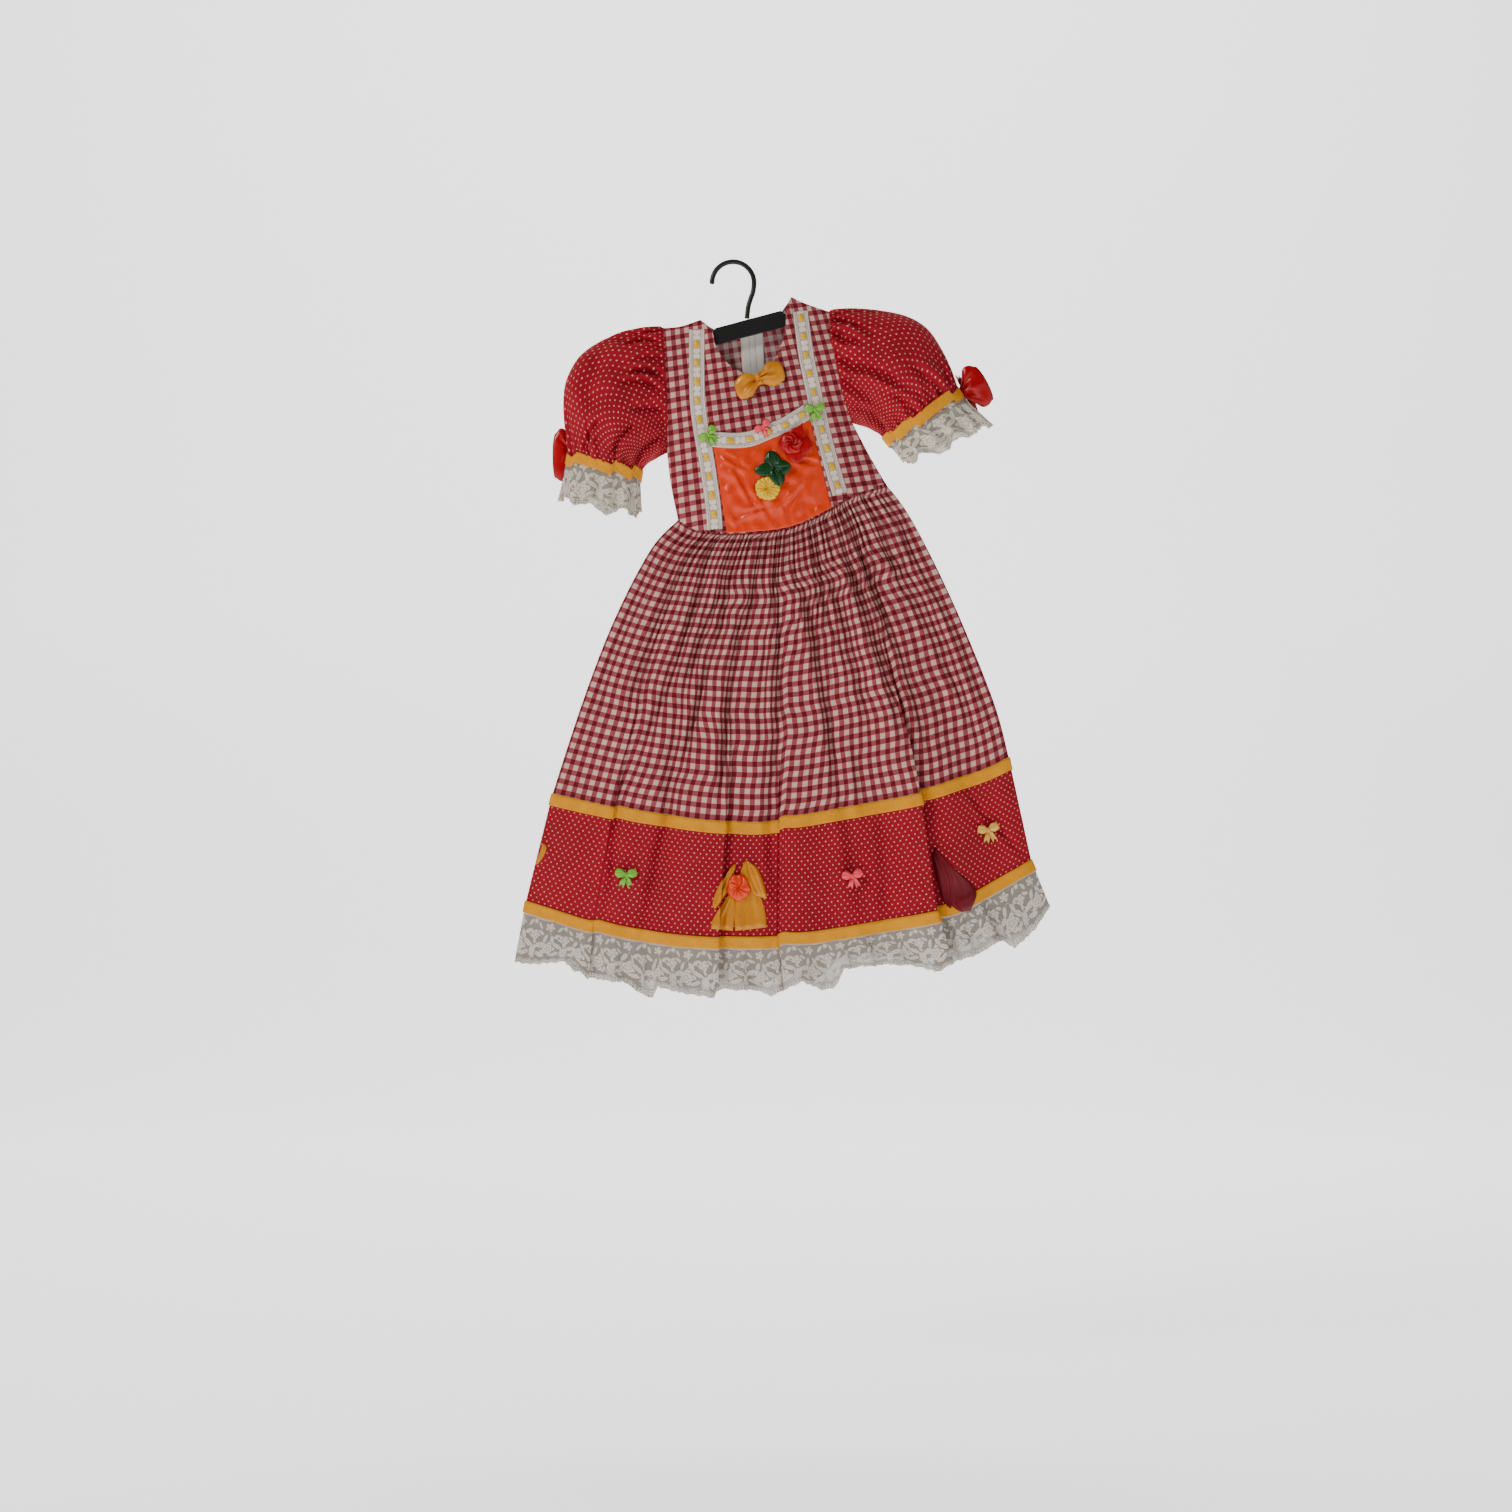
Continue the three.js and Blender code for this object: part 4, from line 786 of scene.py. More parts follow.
SKIRT_FOLDS = [
    (4.5, 6, [(-63, -351.1), (-79.3, -403.2), (-111.8, -494.3), (-137.9, -572.3)]),
    (6, 6, [(-20.7, -344.6), (-46.8, -416.2), (-76, -507.3), (-124.8, -624.4)]),
    (5, 5, [(-6.4, -351.1), (-11, -422.7), (-40.3, -526.8), (-65, -617.9)]),
    (8, 5, [(28.1, -383.6), (6.6, -442.2), (-6.4, -526.8), (-11.6, -591.9), (-17.5, -676.4)]),
    (7, 5, [(54.7, -370.6), (54.1, -442.2), (52.8, -526.8), (50.8, -598.4), (48.9, -676.4)]),
    (5, 5, [(70.4, -364.1), (89.9, -429.2), (112.6, -539.8), (128.9, -650.4)]),
    (5, 6, [(102.9, -351.1), (128.9, -416.2), (151.7, -494.3), (168, -585.4)]),
    (5, 6, [(128.9, -338.1), (168, -429.2), (194, -526.8), (213.5, -604.9)]),
    (5, 5, [(154.9, -351.1), (207, -481.2), (246, -624.4)]),
    (5, 6, [(181, -344.6), (220, -409.7), (278.6, -526.8), (304.6, -598.4)]),
    (4, 6, [(220, -351.1), (278.6, -455.2), (317.6, -572.3)]),
    (4, 6, [(-95.6, -351.1), (-131.4, -435.7), (-176.9, -559.3)]),
    (3, 4, [(-40.3, -526.8), (-65, -624.4)]),
    (3, 5, [(148.4, -585.4), (154.9, -663.4)]),
]
BODICE_CREASES = [
    (3, 4, [(147, -200.4), (163.4, -233.2), (182.2, -252)]),
    (3, 4, [(135.2, -270.8), (158.7, -263.7), (182.2, -270.8)]),
    (2, 5, [(-66.5, -233.2), (-47.8, -270.8), (-33.7, -298.9)]),
    (1.5, 4, [(27.3, -167.6), (39, -195.7)]),
    (1.5, 4, [(64.8, -125.3), (55.5, -172.2)]),
    (2.5, 5, [(-73.6, -270.8), (-57.2, -294.2), (-61.8, -317.7)]),
    (2, 5, [(125.8, -158.2), (135.2, -191), (139.9, -223.9)]),
]
SLEEVE_CREASES_LEFT = [
    (3.5, 4, [(-86.2, -79.3), (-118.2, -85.4), (-151, -96.2)]),
    (4, 4, [(-85.3, -97.2), (-108.8, -91.5), (-136.9, -99.5)]),
    (5, 4, [(-81.6, -137.1), (-104.1, -132.4), (-129.9, -134.7)]),
    (4, 4, [(-83, -155.8), (-111.1, -145), (-139.3, -146.9)]),
    (3, 5, [(-80.6, -176.9), (-99.4, -176.9), (-125.2, -179.8)]),
    (3, 4, [(-181.5, -230.9), (-172.1, -207.4), (-158, -188.7)]),
    (4, 4, [(-146.3, -240.3), (-136, -214.5), (-114.4, -195.7)]),
    (4, 4, [(-120.5, -252), (-108.8, -228.6), (-85.3, -207.4)]),
    (3, 10, [(-158, -106.6), (-176.8, -153.5), (-169.8, -195.7)]),
]
SLEEVE_CREASES_RIGHT = [
    (4, 4, [(114.1, -66.7), (139.9, -71.4), (168.1, -86.8)]),
    (4, 4, [(116.5, -80.7), (135.2, -94.8), (158.7, -98.1)]),
    (4, 5, [(121.2, -106.6), (139.9, -125.3), (168.1, -132.4), (215, -158.2)]),
    (4, 6, [(123.5, -134.7), (154, -158.2), (186.8, -191)]),
    (3, 5, [(139.9, -167.6), (163.4, -181.6), (189.2, -214.5)]),
    (3, 4, [(226.7, -188.7), (210.3, -172.2), (186.8, -158.2)]),
    (3, 5, [(261.9, -172.2), (240.8, -144.1), (215, -125.3)]),
    (3, 4, [(189.2, -218.2), (177.5, -195.7), (163.4, -176.9)]),
]
POCKET_CREASES = [
    (1.4, 3, [(3.8, -252), (27.3, -298.9)]),
    (1.4, 3, [(88.3, -270.8), (64.8, -298.9), (69.5, -315.4)]),
    (1.2, 2.5, [(-0.8, -310.7), (46.1, -296.6)]),
    (1.2, 3, [(111.8, -247.3), (74.2, -240.3)]),
    (1.3, 3, [(-14.9, -233.2), (17.9, -252)]),
    (1.2, 3, [(27.3, -270.8), (46.1, -313)]),
]
SKIRT_CREASES = SKIRT_CREASES + SKIRT_FOLDS
SKIRT_CREASES_BACK = [
    (depth * 0.8, width, [(196 - 1.04 * x, z) for x, z in path]) for depth, width, path in SKIRT_CREASES[::2]
]
FOLD_PUSH = 1.5
FOLD_SHARE = 0.009


def hidden_in_folds(points, rows):
    """The cloth's own place across at each point: true to size between folds, and squeezed in them."""
    s = np.linspace(0, 1, points.shape[1])
    steps = np.linalg.norm(np.diff(points, axis=1), axis=-1)
    run = np.concatenate([np.zeros((len(points), 1)), np.cumsum(steps, axis=1)], axis=1)
    hidden = run[-1, -1] - run[:, -1:]
    total = sum(depth for depth, _, _ in rows)
    for depth, _, path in rows:
        px, pz = np.array(path, float)[::-1].T
        at = np.full(len(points), np.nan)
        for r, (x, z) in enumerate(points[:, :, [0, 2]].transpose(0, 2, 1)):
            away = x - np.interp(z, pz, px)
            spot = int(np.argmin(np.abs(away)))
            if pz[0] <= z[spot] <= pz[-1]:
                at[r] = s[spot]
        known = ~np.isnan(at)
        if not known.any():
            continue
        at = np.interp(np.arange(len(points)), np.flatnonzero(known), at[known])
        at = np.convolve(np.pad(at, 6, "edge"), np.ones(13) / 13, "valid")
        step = 0.5 + 0.5 * np.tanh((s[None] - at[:, None]) / FOLD_SHARE)
        step = (step - step[:, :1]) / (step[:, -1:] - step[:, :1])
        run = run + hidden * depth / total * step
    return run


SKIRT_ROWS = {-1: SKIRT_CREASES, 1: SKIRT_CREASES_BACK}
print("creases in the skirt's front", len(SKIRT_CREASES))

# %% [markdown]
# Nearer the waist a row is shorter than the hem, and the repeats it has no room for are hidden in
# the folds.

# %% Skirt panels
NAMES = {-1: "front", 1: "back"}
FINE_COLUMNS = {-1: 330, 1: 240}
FINE_ROWS = {-1: 130, 1: 96}
SKIRT_DROP = 362


def creased_skirt(side, column, level):
    points = skirt_point(side, column, level)
    return press(points, side, SKIRT_ROWS[side], 3 + side, push=FOLD_PUSH)


for side in (-1, 1):
    columns = np.linspace(0, COLUMNS, FINE_COLUMNS[side] + 1)[None]
    levels = np.concatenate([[-0.012], np.linspace(0, 1, FINE_ROWS[side]) ** 1.12])[:, None]
    points = skirt_point(side, columns, np.maximum(levels, 0))
    points[0, :, 2] += 2
    points[0, :, 1] *= 0.9
    points = press(points, side, SKIRT_ROWS[side], 3 + side, push=FOLD_PUSH)
    width = run_along(points[-1])[-1]
    uv = (hidden_in_folds(points, SKIRT_ROWS[side]), SKIRT_DROP * np.clip(levels, -0.01, 1))
    cloth(f"skirt_{NAMES[side]}", points, uv, CHECK_CLOTH, (width, SKIRT_DROP), flip=side > 0)
    print("skirt", NAMES[side], "cut", round(width), "by", SKIRT_DROP, "mm")

# %% [markdown]
# Below the check come a red band, with a folded tape over each of its seams, and the lace. They
# are the same surface further down; a tape lies a little proud, over the raw edges it hides, and
# its front and back meet round the side seam.

# %% Band and tapes
TAPE_CUT = 14
TAPE_THICK, TAPE_PROUD = 1.1, 1.2


def skirt_strip(side, first, last, rows, columns, proud):
    c = np.linspace(0, COLUMNS, columns + 1)
    top = level_below(side, c, first[0], first[1])
    bottom = level_below(side, c, last[0], last[1])
    t = np.linspace(0, 1, rows + 1)[:, None]
    points = creased_skirt(side, c[None], top[None] * (1 - t) + bottom[None] * t)
    points = points + outward(points, side) * proud
    fold = 1 - smooth(np.minimum(c, COLUMNS - c) / 0.7)
    points[..., 0] += proud * fold * np.sign(c - COLUMNS / 2)
    points[..., 1] -= side * fold * np.maximum(0, np.abs(points[..., 1]) - SEAM)
    return points


for side in (-1, 1):
    label = NAMES[side]
    for name, level in (("tape_upper", 1), ("tape_lower", 2)):
        points = skirt_strip(side, (level, -1.0), (level, TAPE + 0.6), 8, 260, TAPE_PROUD)
        down = length_down(points)
        across = run_along(points[4])
        pucker = 0.22 * np.sin(across / 3.4 + 2 * np.sin(across / 31))
        pucker = pucker * np.abs(np.linspace(-1, 1, 9))[:, None]
        points = points + outward(points, side) * pucker[..., None]
        cloth(f"{name}_{label}", points, (across[None], down), [yellow_tape], (across[-1], TAPE_CUT),
              thick=TAPE_THICK, flip=side > 0)
    points = skirt_strip(side, (1, TAPE - 2), (2, 3), 60, 300 if side < 0 else 220, 0.0)
    across = run_along(points[30])
    down = length_down(points).mean(axis=1)[:, None]
    cut = (across[-1], down[-1, 0])
    cloth(f"band_{label}", points, (across[None], down), [dotted_cotton], cut, flip=side > 0)
    print(f"band_{label}", "cut", round(cut[0]), "by", round(cut[1]), "mm")

# %% [markdown]
# The lace is a fine net worked with flowers, leaves and a winding stem, over a scalloped edge
# with two cords. The motifs are drawn from circles, ellipses and waves in the cloth map, where
# the second number is the height above the scallops. The net is partly see-through; the motifs
# are nearly solid and stand a little proud. The net's grey colour is painted shade, for the dark
# seen through it.

# %% Lace
LACE_REPEAT = 42
SCALLOP = 11.5
SCALLOP_RISE = 2.2
NET_COVER = 0.75


def lace(name, ground, thread, flower_at=24.0, second_at=41.0, stem_at=33.0):
    f = Finish(name, Roughness=0.85, Specular_IOR_Level=0.3)
    u, w = f.cloth_map()
    u = u + (f.noise(24, 1, f.map_socket) - 0.5) * 6
    w = w + (f.noise(20, 1, f.map_socket) - 0.5) * 4

    def flower(x, y, radius, petals):
        r = (x * x + y * y).math("SQRT")
        angle = y.math("ARCTAN2", x)
        edge = (angle * petals).math("COSINE") * (radius * 0.2) + radius
        body = (r - edge).below(0, 0.6)
        veins = (r * 1.5 + (angle * petals).math("SINE") * 1.4).math("SINE").below(-0.55, 0.3)
        return body * (-(veins * 0.6) + 1.0)

    def leaf(x, y, cx, cy, degrees, long, wide):
        a = math.radians(degrees)
        dx, dy = x - cx, y - cy
        along = (dx * math.cos(a) + dy * math.sin(a)) / long
        across = (dy * math.cos(a) - dx * math.sin(a)) / wide
        body = (along * along + across * across).below(1.0, 0.25)
        return body * (-(across.math("ABSOLUTE").below(0.16, 0.1) * 0.5) + 1.0)

    x = u.repeat(LACE_REPEAT)
    other = (u + LACE_REPEAT / 2).repeat(LACE_REPEAT)
    motif = flower(x, w - flower_at, 9.5, 5)
    motif = motif.max(flower(other, w - second_at, 6.0, 5))
    motif = motif.max(flower(other, w - flower_at * 0.62, 4.6, 6))
    motif = motif.max(flower(x, w - second_at - 13, 5.4, 5)).max(flower(other, w - second_at - 17, 3.4, 6))
    for cx, cy, degrees, long, wide in (
        (-13, 4, 35, 7, 2.8), (13, 5, 145, 7, 2.8), (-10, -9, -30, 6.5, 2.6), (10, -8, 210, 6.5, 2.6),
        (-5, 14, 70, 6, 2.3), (6, 14, 112, 6, 2.3), (19, -3, 80, 5.5, 2.2), (-19, -2, 100, 5.5, 2.2),
    ):
        motif = motif.max(leaf(x, w - flower_at, cx, cy, degrees, long, wide))
    for cx, cy, degrees, long, wide in (
        (-9, 3, 30, 5, 2), (9, 4, 150, 5, 2), (-7, 14, 60, 5, 1.8), (8, 13, 120, 5, 1.8), (0, -9, 90, 4, 1.6),
    ):
        motif = motif.max(leaf(other, w - second_at, cx, cy, degrees, long, wide))
    stem = (w - stem_at - u.sin(LACE_REPEAT) * 8).math("ABSOLUTE").below(0.75, 0.35)
    twig = (w - stem_at - u.sin(LACE_REPEAT / 2, 1.2) * 13).math("ABSOLUTE").below(0.5, 0.3)
    edge = (u * (math.pi / SCALLOP)).math("SINE").math("ABSOLUTE") * SCALLOP_RISE
    cord = (w - edge - 1.6).math("ABSOLUTE").below(0.8, 0.3)
    inner = (w - edge - 5.2).math("ABSOLUTE").below(0.5, 0.3)
    rib = (u.repeat(SCALLOP / 4).math("ABSOLUTE").below(0.5, 0.25)) * (w - edge).below(5.4, 0.4)
    motif = motif.max(stem).max(twig * 0.8).max(cord).max(inner).max(rib * 0.9)
    top = (w * -1.0).below(-62.0, 0.6)
    motif = motif.max(top * 0.7)
    cloudy = f.noise(30, 2, f.map_socket) * 0.22 - 0.11
    cover = (f.net(1.5, 0.13) * 0.25 + NET_COVER + cloudy).max(motif * 0.97)
    f.alpha(cover.min(1.0))
    shade = f.blend(f.noise(5, 3, f.map_socket), thread[0], thread[1])
    # The ground colour of the net is a painted grey: painted shade for the dark seen through it.
    f.colour(f.blend(motif, ground, shade))
    f.relief(motif + f.noise(1.6, 2, f.map_socket) * 0.5, 0.5)
    return f.material


# Both laces have a grey ground that is painted shade, for the dark seen through the net, and cream threads.
cream_lace = lace("cream_lace", linear(140, 131, 122), (linear(200, 190, 176), linear(232, 224, 210)))
cuff_lace_finish = lace(
    "cuff_lace", linear(142, 132, 120), (linear(204, 192, 174), linear(236, 228, 210)), 17.0, 31.0, 24.0
)

# %% [markdown]
# The lace flounce is gathered as it is sewn on, so it flutes, and where it hangs its scalloped
# edge rises and falls. The low points of the edge were measured one by one.

# %% Lace round the hem
HEM_EDGE = [
    (-268, -852), (-250, -855), (-224, -853), (-196, -851), (-178, -871), (-156, -873), (-129, -876),
    (-98, -897), (-91, -880), (-54, -889), (-23, -893), (-18, -883), (26, -884), (46, -891), (84, -873),
    (110, -885), (124, -881), (135, -858), (177, -854), (212, -854), (248, -862), (261, -853), (306, -838),
    (323, -824), (343, -835), (368, -813), (388, -783),
]
LACE_FULLNESS = 1.12
FLOUNCE = 66

edge_x, edge_z = np.array(HEM_EDGE, float).T
for side in (-1, 1):
    label = NAMES[side]
    columns, rows = (460, 44) if side < 0 else (330, 34)
    c = np.linspace(0, COLUMNS, columns + 1)
    top = level_below(side, c, 2, TAPE - 1.5)
    t = np.linspace(0, 1, rows + 1)[:, None]
    points = creased_skirt(side, c[None], top[None] * (1 - t) + 3.0 * t)
    target = np.interp(points[-1, :, 0], edge_x, edge_z)
    if side > 0:
        inner = smooth(8 * np.minimum(c, COLUMNS - c) / COLUMNS)
        target = target + inner * (np.interp(points[-1, :, 0] + 17, edge_x, edge_z) + 5 - target)
    points[..., 2] += (target - points[-1, :, 2])[None] * t**1.5
    across = run_along(points[2]) * LACE_FULLNESS
    scallop = SCALLOP_RISE * np.abs(np.sin(math.pi * across / SCALLOP))
    points[..., 2] += scallop[None] * smooth((t - 0.8) / 0.2)
    cloth(f"hem_lace_{label}", points, (across[None], FLOUNCE * (1 - t)), [cream_lace], (across[-1], FLOUNCE),
          thick=0, flip=side > 0)
    print(f"hem_lace_{label}", "cut", round(across[-1]), "mm long")

# %% [markdown]
# The bodice is cut flat, on the straight grain, and only eased round the body, so its check isn't
# gathered. On the hanger it tilts, and the check tilts with it, more at the right than the left.

# %% Bodice
BODICE_ROWS, SIDE_ROWS = 16, 4
SHOULDER_SHARE = 0.2
NECK_DEPTH = {-1: 13, 1: 9}
CHEST_DEPTH, ARMHOLE_DEPTH = 6, 10
GRAIN = {"left": (-43, 6.0), "right": (105, 14.0)}
GRAIN_Z = -200
ROW_LEAN = 10
FRONT_CUT, BACK_CUT = (265, 275), (135, 270)
ZIP_HALF_OPEN = 2.0

shoulder_left, shoulder_right = curve_through(SHOULDER_LEFT), curve_through(SHOULDER_RIGHT)
neck_lines = {-1: curve_through(NECK_FRONT), 1: curve_through(NECK_BACK)}
side_lines = {
    -1: (curve_through(SIDE_LEFT), curve_through(ARMHOLE_LEFT)),
    1: (curve_through(SIDE_RIGHT), curve_through(ARMHOLE_RIGHT)),
}


def armhole_share(row):
    return (1 - np.cos(math.pi * (np.maximum(row, SIDE_ROWS) - SIDE_ROWS) / (BODICE_ROWS - SIDE_ROWS))) / 2


def side_edge(hand, row):
    seam, armhole = side_lines[hand]
    return np.where((row < SIDE_ROWS)[..., None], seam(row / SIDE_ROWS), armhole(armhole_share(row)))


def upper_edge(side, u):
    u = np.asarray(u, float)
    middle = neck_lines[side]((u - SHOULDER_SHARE) / (1 - 2 * SHOULDER_SHARE))
    left, right = shoulder_left(u / SHOULDER_SHARE), shoulder_right((u - 1 + SHOULDER_SHARE) / SHOULDER_SHARE)
    inner = np.where((u > 1 - SHOULDER_SHARE)[..., None], right, middle)
    return np.where((u < SHOULDER_SHARE)[..., None], left, inner)


def rise_of(row):
    share = 0
    for hand in (-1, 1):
        z = side_edge(hand, row)[..., 1]
        low, high = side_edge(hand, np.array(0.0))[1], side_edge(hand, np.array(float(BODICE_ROWS)))[1]
        share = share + (z - low) / (high - low) / 2
    return share


def bodice_point(side, u, row):
    u, row = np.broadcast_arrays(np.asarray(u, float), np.asarray(row, float))
    rise = rise_of(row)
    upper = {"at": upper_edge(side, u), "start": upper_edge(side, 0.0), "end": upper_edge(side, 1.0)}
    flat = fill(edge_at(waist_line, u), upper, side_edge(-1, row), side_edge(1, row), u, rise)
    neck = np.clip((u - SHOULDER_SHARE) / (1 - 2 * SHOULDER_SHARE), 0, 1)
    armhole = np.where(row > SIDE_ROWS, ARMHOLE_DEPTH * np.sin(math.pi * armhole_share(row)), 0)
    depth = armhole * (2 * u - 1) ** 2 + (1 - rise) * WAIST_DEPTH * lens_shape(u)
    depth = depth + rise * NECK_DEPTH[side] * np.sqrt(np.sin(math.pi * neck))
    depth = depth + CHEST_DEPTH * lens_shape(u) * np.sin(math.pi * rise)
    inside = smooth(np.minimum(u, 1 - u) * 12) * smooth((BODICE_ROWS - row) * 2)
    return np.stack([flat[..., 0], side * (SEAM + 0.85 * inside + np.maximum(0, depth)), flat[..., 1]], -1)


def bodice_map(points):
    x, z = points[..., 0], points[..., 2]
    (x1, a1), (x2, a2) = GRAIN["left"], GRAIN["right"]
    base = x
    for _ in range(4):
        lean = np.radians(a1 + (base - x1) * (a2 - a1) / (x2 - x1))
        base = x + (z - GRAIN_Z) * np.tan(lean)
    lean = np.radians(ROW_LEAN)
    return base, -(z * np.cos(lean) - x * np.sin(lean))


def creased_back(u, row):
    return press(bodice_point(1, u, row), 1, moved(BODICE_CREASES, 8, -10), 13, 0.5, 60)


rows = np.linspace(0, BODICE_ROWS, 117)[::-1, None]
bodice_front = press(bodice_point(-1, np.linspace(0, 1, 151)[None], rows), -1, BODICE_CREASES, 11, 0.55, 60)
cloth("bodice_front", bodice_front, bodice_map(bodice_front), CHECK_CLOTH, FRONT_CUT)
slot_share = ZIP_HALF_OPEN / (WAIST[-1][0] - WAIST[0][0])
for label, first, last in (("left", 0, 0.5 - slot_share), ("right", 0.5 + slot_share, 1)):
    points = creased_back(np.linspace(first, last, 77)[None], rows)
    cloth(f"bodice_back_{label}", points, bodice_map(points), CHECK_CLOTH, BACK_CUT, flip=True)
print("bodice", len(bodice_front), "rows")

# %% [markdown]
# A puff sleeve is a wide piece of cloth gathered into the armhole and again into the cuff. It is
# built from rings: the first follows the armhole, the others stand along the arm. Gathers run in
# from both ends, and a few pressed folds cross the front, as the sleeve was flattened when hung.

# %% Puff sleeves
ROUND, LONG = 264, 96
PLEATS = 7
PLEAT_STEP = 7.0
GATHERS_ROUND = 28
ARM_GATHER, CUFF_GATHER = 2.8, 2.3
EASE = 1.02
CUFF_LACE, CUFF_FLUTE = 46, 4.2


def ring_points(section, turn, angle):
    x_top, z_top, x_bottom, z_bottom, depth, fold = section
    centre = np.array([(x_top + x_bottom) / 2, (z_top + z_bottom) / 2])
    up = np.array([x_top, z_top]) - centre
    reach = 1 + fold * np.cos(3 * angle + turn) * np.sin(angle) ** 2 / depth
    flat = centre + up * np.cos(angle)[:, None]
    return np.stack([flat[:, 0], -depth * np.sin(angle) * reach, flat[:, 1]], -1)


def armhole_points(hand, angle):
    share = (1 + np.cos(angle)) / 2
    flat = side_lines[hand][1](share)
    opening = SEAM * np.minimum(1, np.abs(np.sin(angle)) * 8) + ARMHOLE_DEPTH * np.sin(math.pi * share)
    return np.stack([flat[:, 0] - hand * 0.6, -np.sign(np.sin(angle)) * opening, flat[:, 1]], -1)


def along_rings(rings, t):
    """A smooth surface through a list of rings, read from 0 at the first to 1 at the last."""
    return spline(np.array(rings), t * (len(rings) - 1))


def ring_outward(points):
    around = np.roll(points, -1, axis=1) - np.roll(points, 1, axis=1)
    down = np.gradient(points, axis=0)
    normal = unit(np.cross(down, around))
    centre = points.mean(axis=1, keepdims=True)
    return normal * np.sign((normal * (points - centre)).sum(-1).mean())


angle = np.linspace(0, 2 * math.pi, ROUND, endpoint=False)
front_only = smooth(np.sin(angle) * 2.5)[None]
back_only = smooth(-np.sin(angle) * 2.5)[None]
for hand, label, sections, cuff, front_rows in (
    (-1, "left", SLEEVE_LEFT, CUFF_LEFT, SLEEVE_CREASES_LEFT),
    (1, "right", SLEEVE_RIGHT, CUFF_RIGHT, SLEEVE_CREASES_RIGHT),
):
    rings = [armhole_points(hand, angle)] + [ring_points(s, 0.5 * i, angle) for i, s in enumerate(sections)]
    t = np.linspace(0, 1, LONG + 1)
    points = along_rings(rings, t)
    normal = ring_outward(points)
    wander = angle + 0.05 * np.sin(7 * angle + hand) + 0.03 * np.sin(17 * angle)
    at_arm = np.clip(1 - t[:, None] / (0.34 + 0.14 * np.sin(9 * wander)[None]), 0, 1) ** 1.3
    at_cuff = np.clip((t[:, None] - 0.66 - 0.12 * np.sin(8 * wander + 1)[None]) / 0.34, 0, 1) ** 1.3
    upper_half = 0.45 + 0.55 * smooth((np.cos(angle) + 0.4) * 1.2)[None]
    ends = smooth(t / 0.04)[:, None]
    saw = (PLEATS * (angle / (2 * math.pi)) + 0.2 * np.sin(3 * angle)) % 1.0
    step = (np.minimum(saw / 0.85, (1 - saw) / 0.15) - 0.5)[None]
    pleat_drop = -PLEAT_STEP * step
    out = ARM_GATHER * at_arm * upper_half * ends * np.cos(GATHERS_ROUND * wander)[None]
    out = out + CUFF_GATHER * at_cuff * np.cos(GATHERS_ROUND * wander)[None]
    x, z = points[..., 0], points[..., 2]
    out = out + 2.0 * creases(x, z, front_rows) * front_only * ends
    out = out + creases(x, z, moved(front_rows, 4, -14)) * back_only * ends * 0.8
    out = out + soft_waves(x, z, 21 + hand, 9, 70, 1.3) * (np.abs(np.sin(angle))[None]) * ends
    points = points + normal * out[..., None]
    points[..., 2] += pleat_drop * smooth((t[:, None] - 0.9) / 0.1)
    width = np.linalg.norm(np.diff(points, axis=1), axis=-1).sum(axis=1).max() * EASE
    down = length_down(np.concatenate([points, points[:, :1]], axis=1)).mean(axis=1)[:, None]
    uv = ((angle / (2 * math.pi) * width)[None], down)
    cloth(f"sleeve_{label}", points, uv, [dotted_cotton], (width, down[-1, 0]), ring=width, flip=hand < 0)
    print(f"sleeve_{label}", "cut", round(width), "by", round(down[-1, 0]), "mm")

    # The tape and the lace are laid in small pleats that all step the same way round.
    last = ring_points(sections[-1], 0.5 * (len(sections) - 1), angle)
    t = np.linspace(-0.1, 1.06, 9)[:, None, None]
    points = last[None] * (1 - t) + ring_points(cuff[0], 0, angle)[None] * t
    points = points + ring_outward(points) * (2.0 + 1.6 * step)[..., None]
    points[..., 2] += pleat_drop
    across = run_along(points[4])
    round_tape = across[-1] + np.linalg.norm(points[4, 0] - points[4, -1])
    uv = (across[None], length_down(points).mean(axis=1)[:, None])
    cloth(f"cuff_tape_{label}", points, uv, [yellow_tape], (round_tape, TAPE_CUT), thick=0.9, ring=round_tape,
          flip=hand < 0)

    lace_rings = [ring_points(s, 0, angle) for s in cuff]
    t = np.linspace(-0.03, 1, 45)
    points = along_rings(lace_rings, np.clip(t, 0, 1))
    grow = np.clip(t, 0, 1)[:, None]
    flute = np.cos(PLEATS * 2 * angle + 0.8 * np.sin(2 * angle))[None]
    points = points + ring_outward(points) * (0.6 + 1.0 * step + CUFF_FLUTE * grow * flute)[..., None]
    points[..., 2] += pleat_drop * (1 - grow) ** 2
    # Its cut is as long as the edge that is sewn under the tape, steps and all.
    sewn = points[2]
    round_lace = np.linalg.norm(np.roll(sewn, -1, axis=0) - sewn, axis=-1).sum()
    uneven = (4.0 * np.sin(PLEATS * angle + 1.1) + 2.5 * np.sin(3 * angle)) * grow**1.5
    around = angle / (2 * math.pi) * round_lace
    scallop = SCALLOP_RISE * np.abs(np.sin(math.pi * around / SCALLOP)) * smooth((t - 0.8) / 0.2)[:, None]
    tip = (lace_rings[-1] - lace_rings[0]).mean(axis=0)
    tip /= np.linalg.norm(tip)
    points = points + tip * (uneven[..., None] - scallop[..., None])
    cloth(f"cuff_lace_{label}", points, (around[None], CUFF_LACE * (1 - grow)), [cuff_lace_finish],
          (round_lace, CUFF_LACE), thick=0, ring=round_lace, flip=hand < 0)
    edge = np.linalg.norm(np.roll(points[-1], -1, axis=0) - points[-1], axis=-1).sum()
    print(f"cuff_lace_{label}", "cut", round(round_lace), "mm, its free edge measures", round(edge))

# %% [markdown]
# What is sewn onto the dress has to lie on the creased cloth, so the finished panels are kept as
# search trees, and any place on them can be looked up from the front, with the way it faces.

# %% Finding a place on the cloth
from mathutils import Matrix
from mathutils.bvhtree import BVHTree


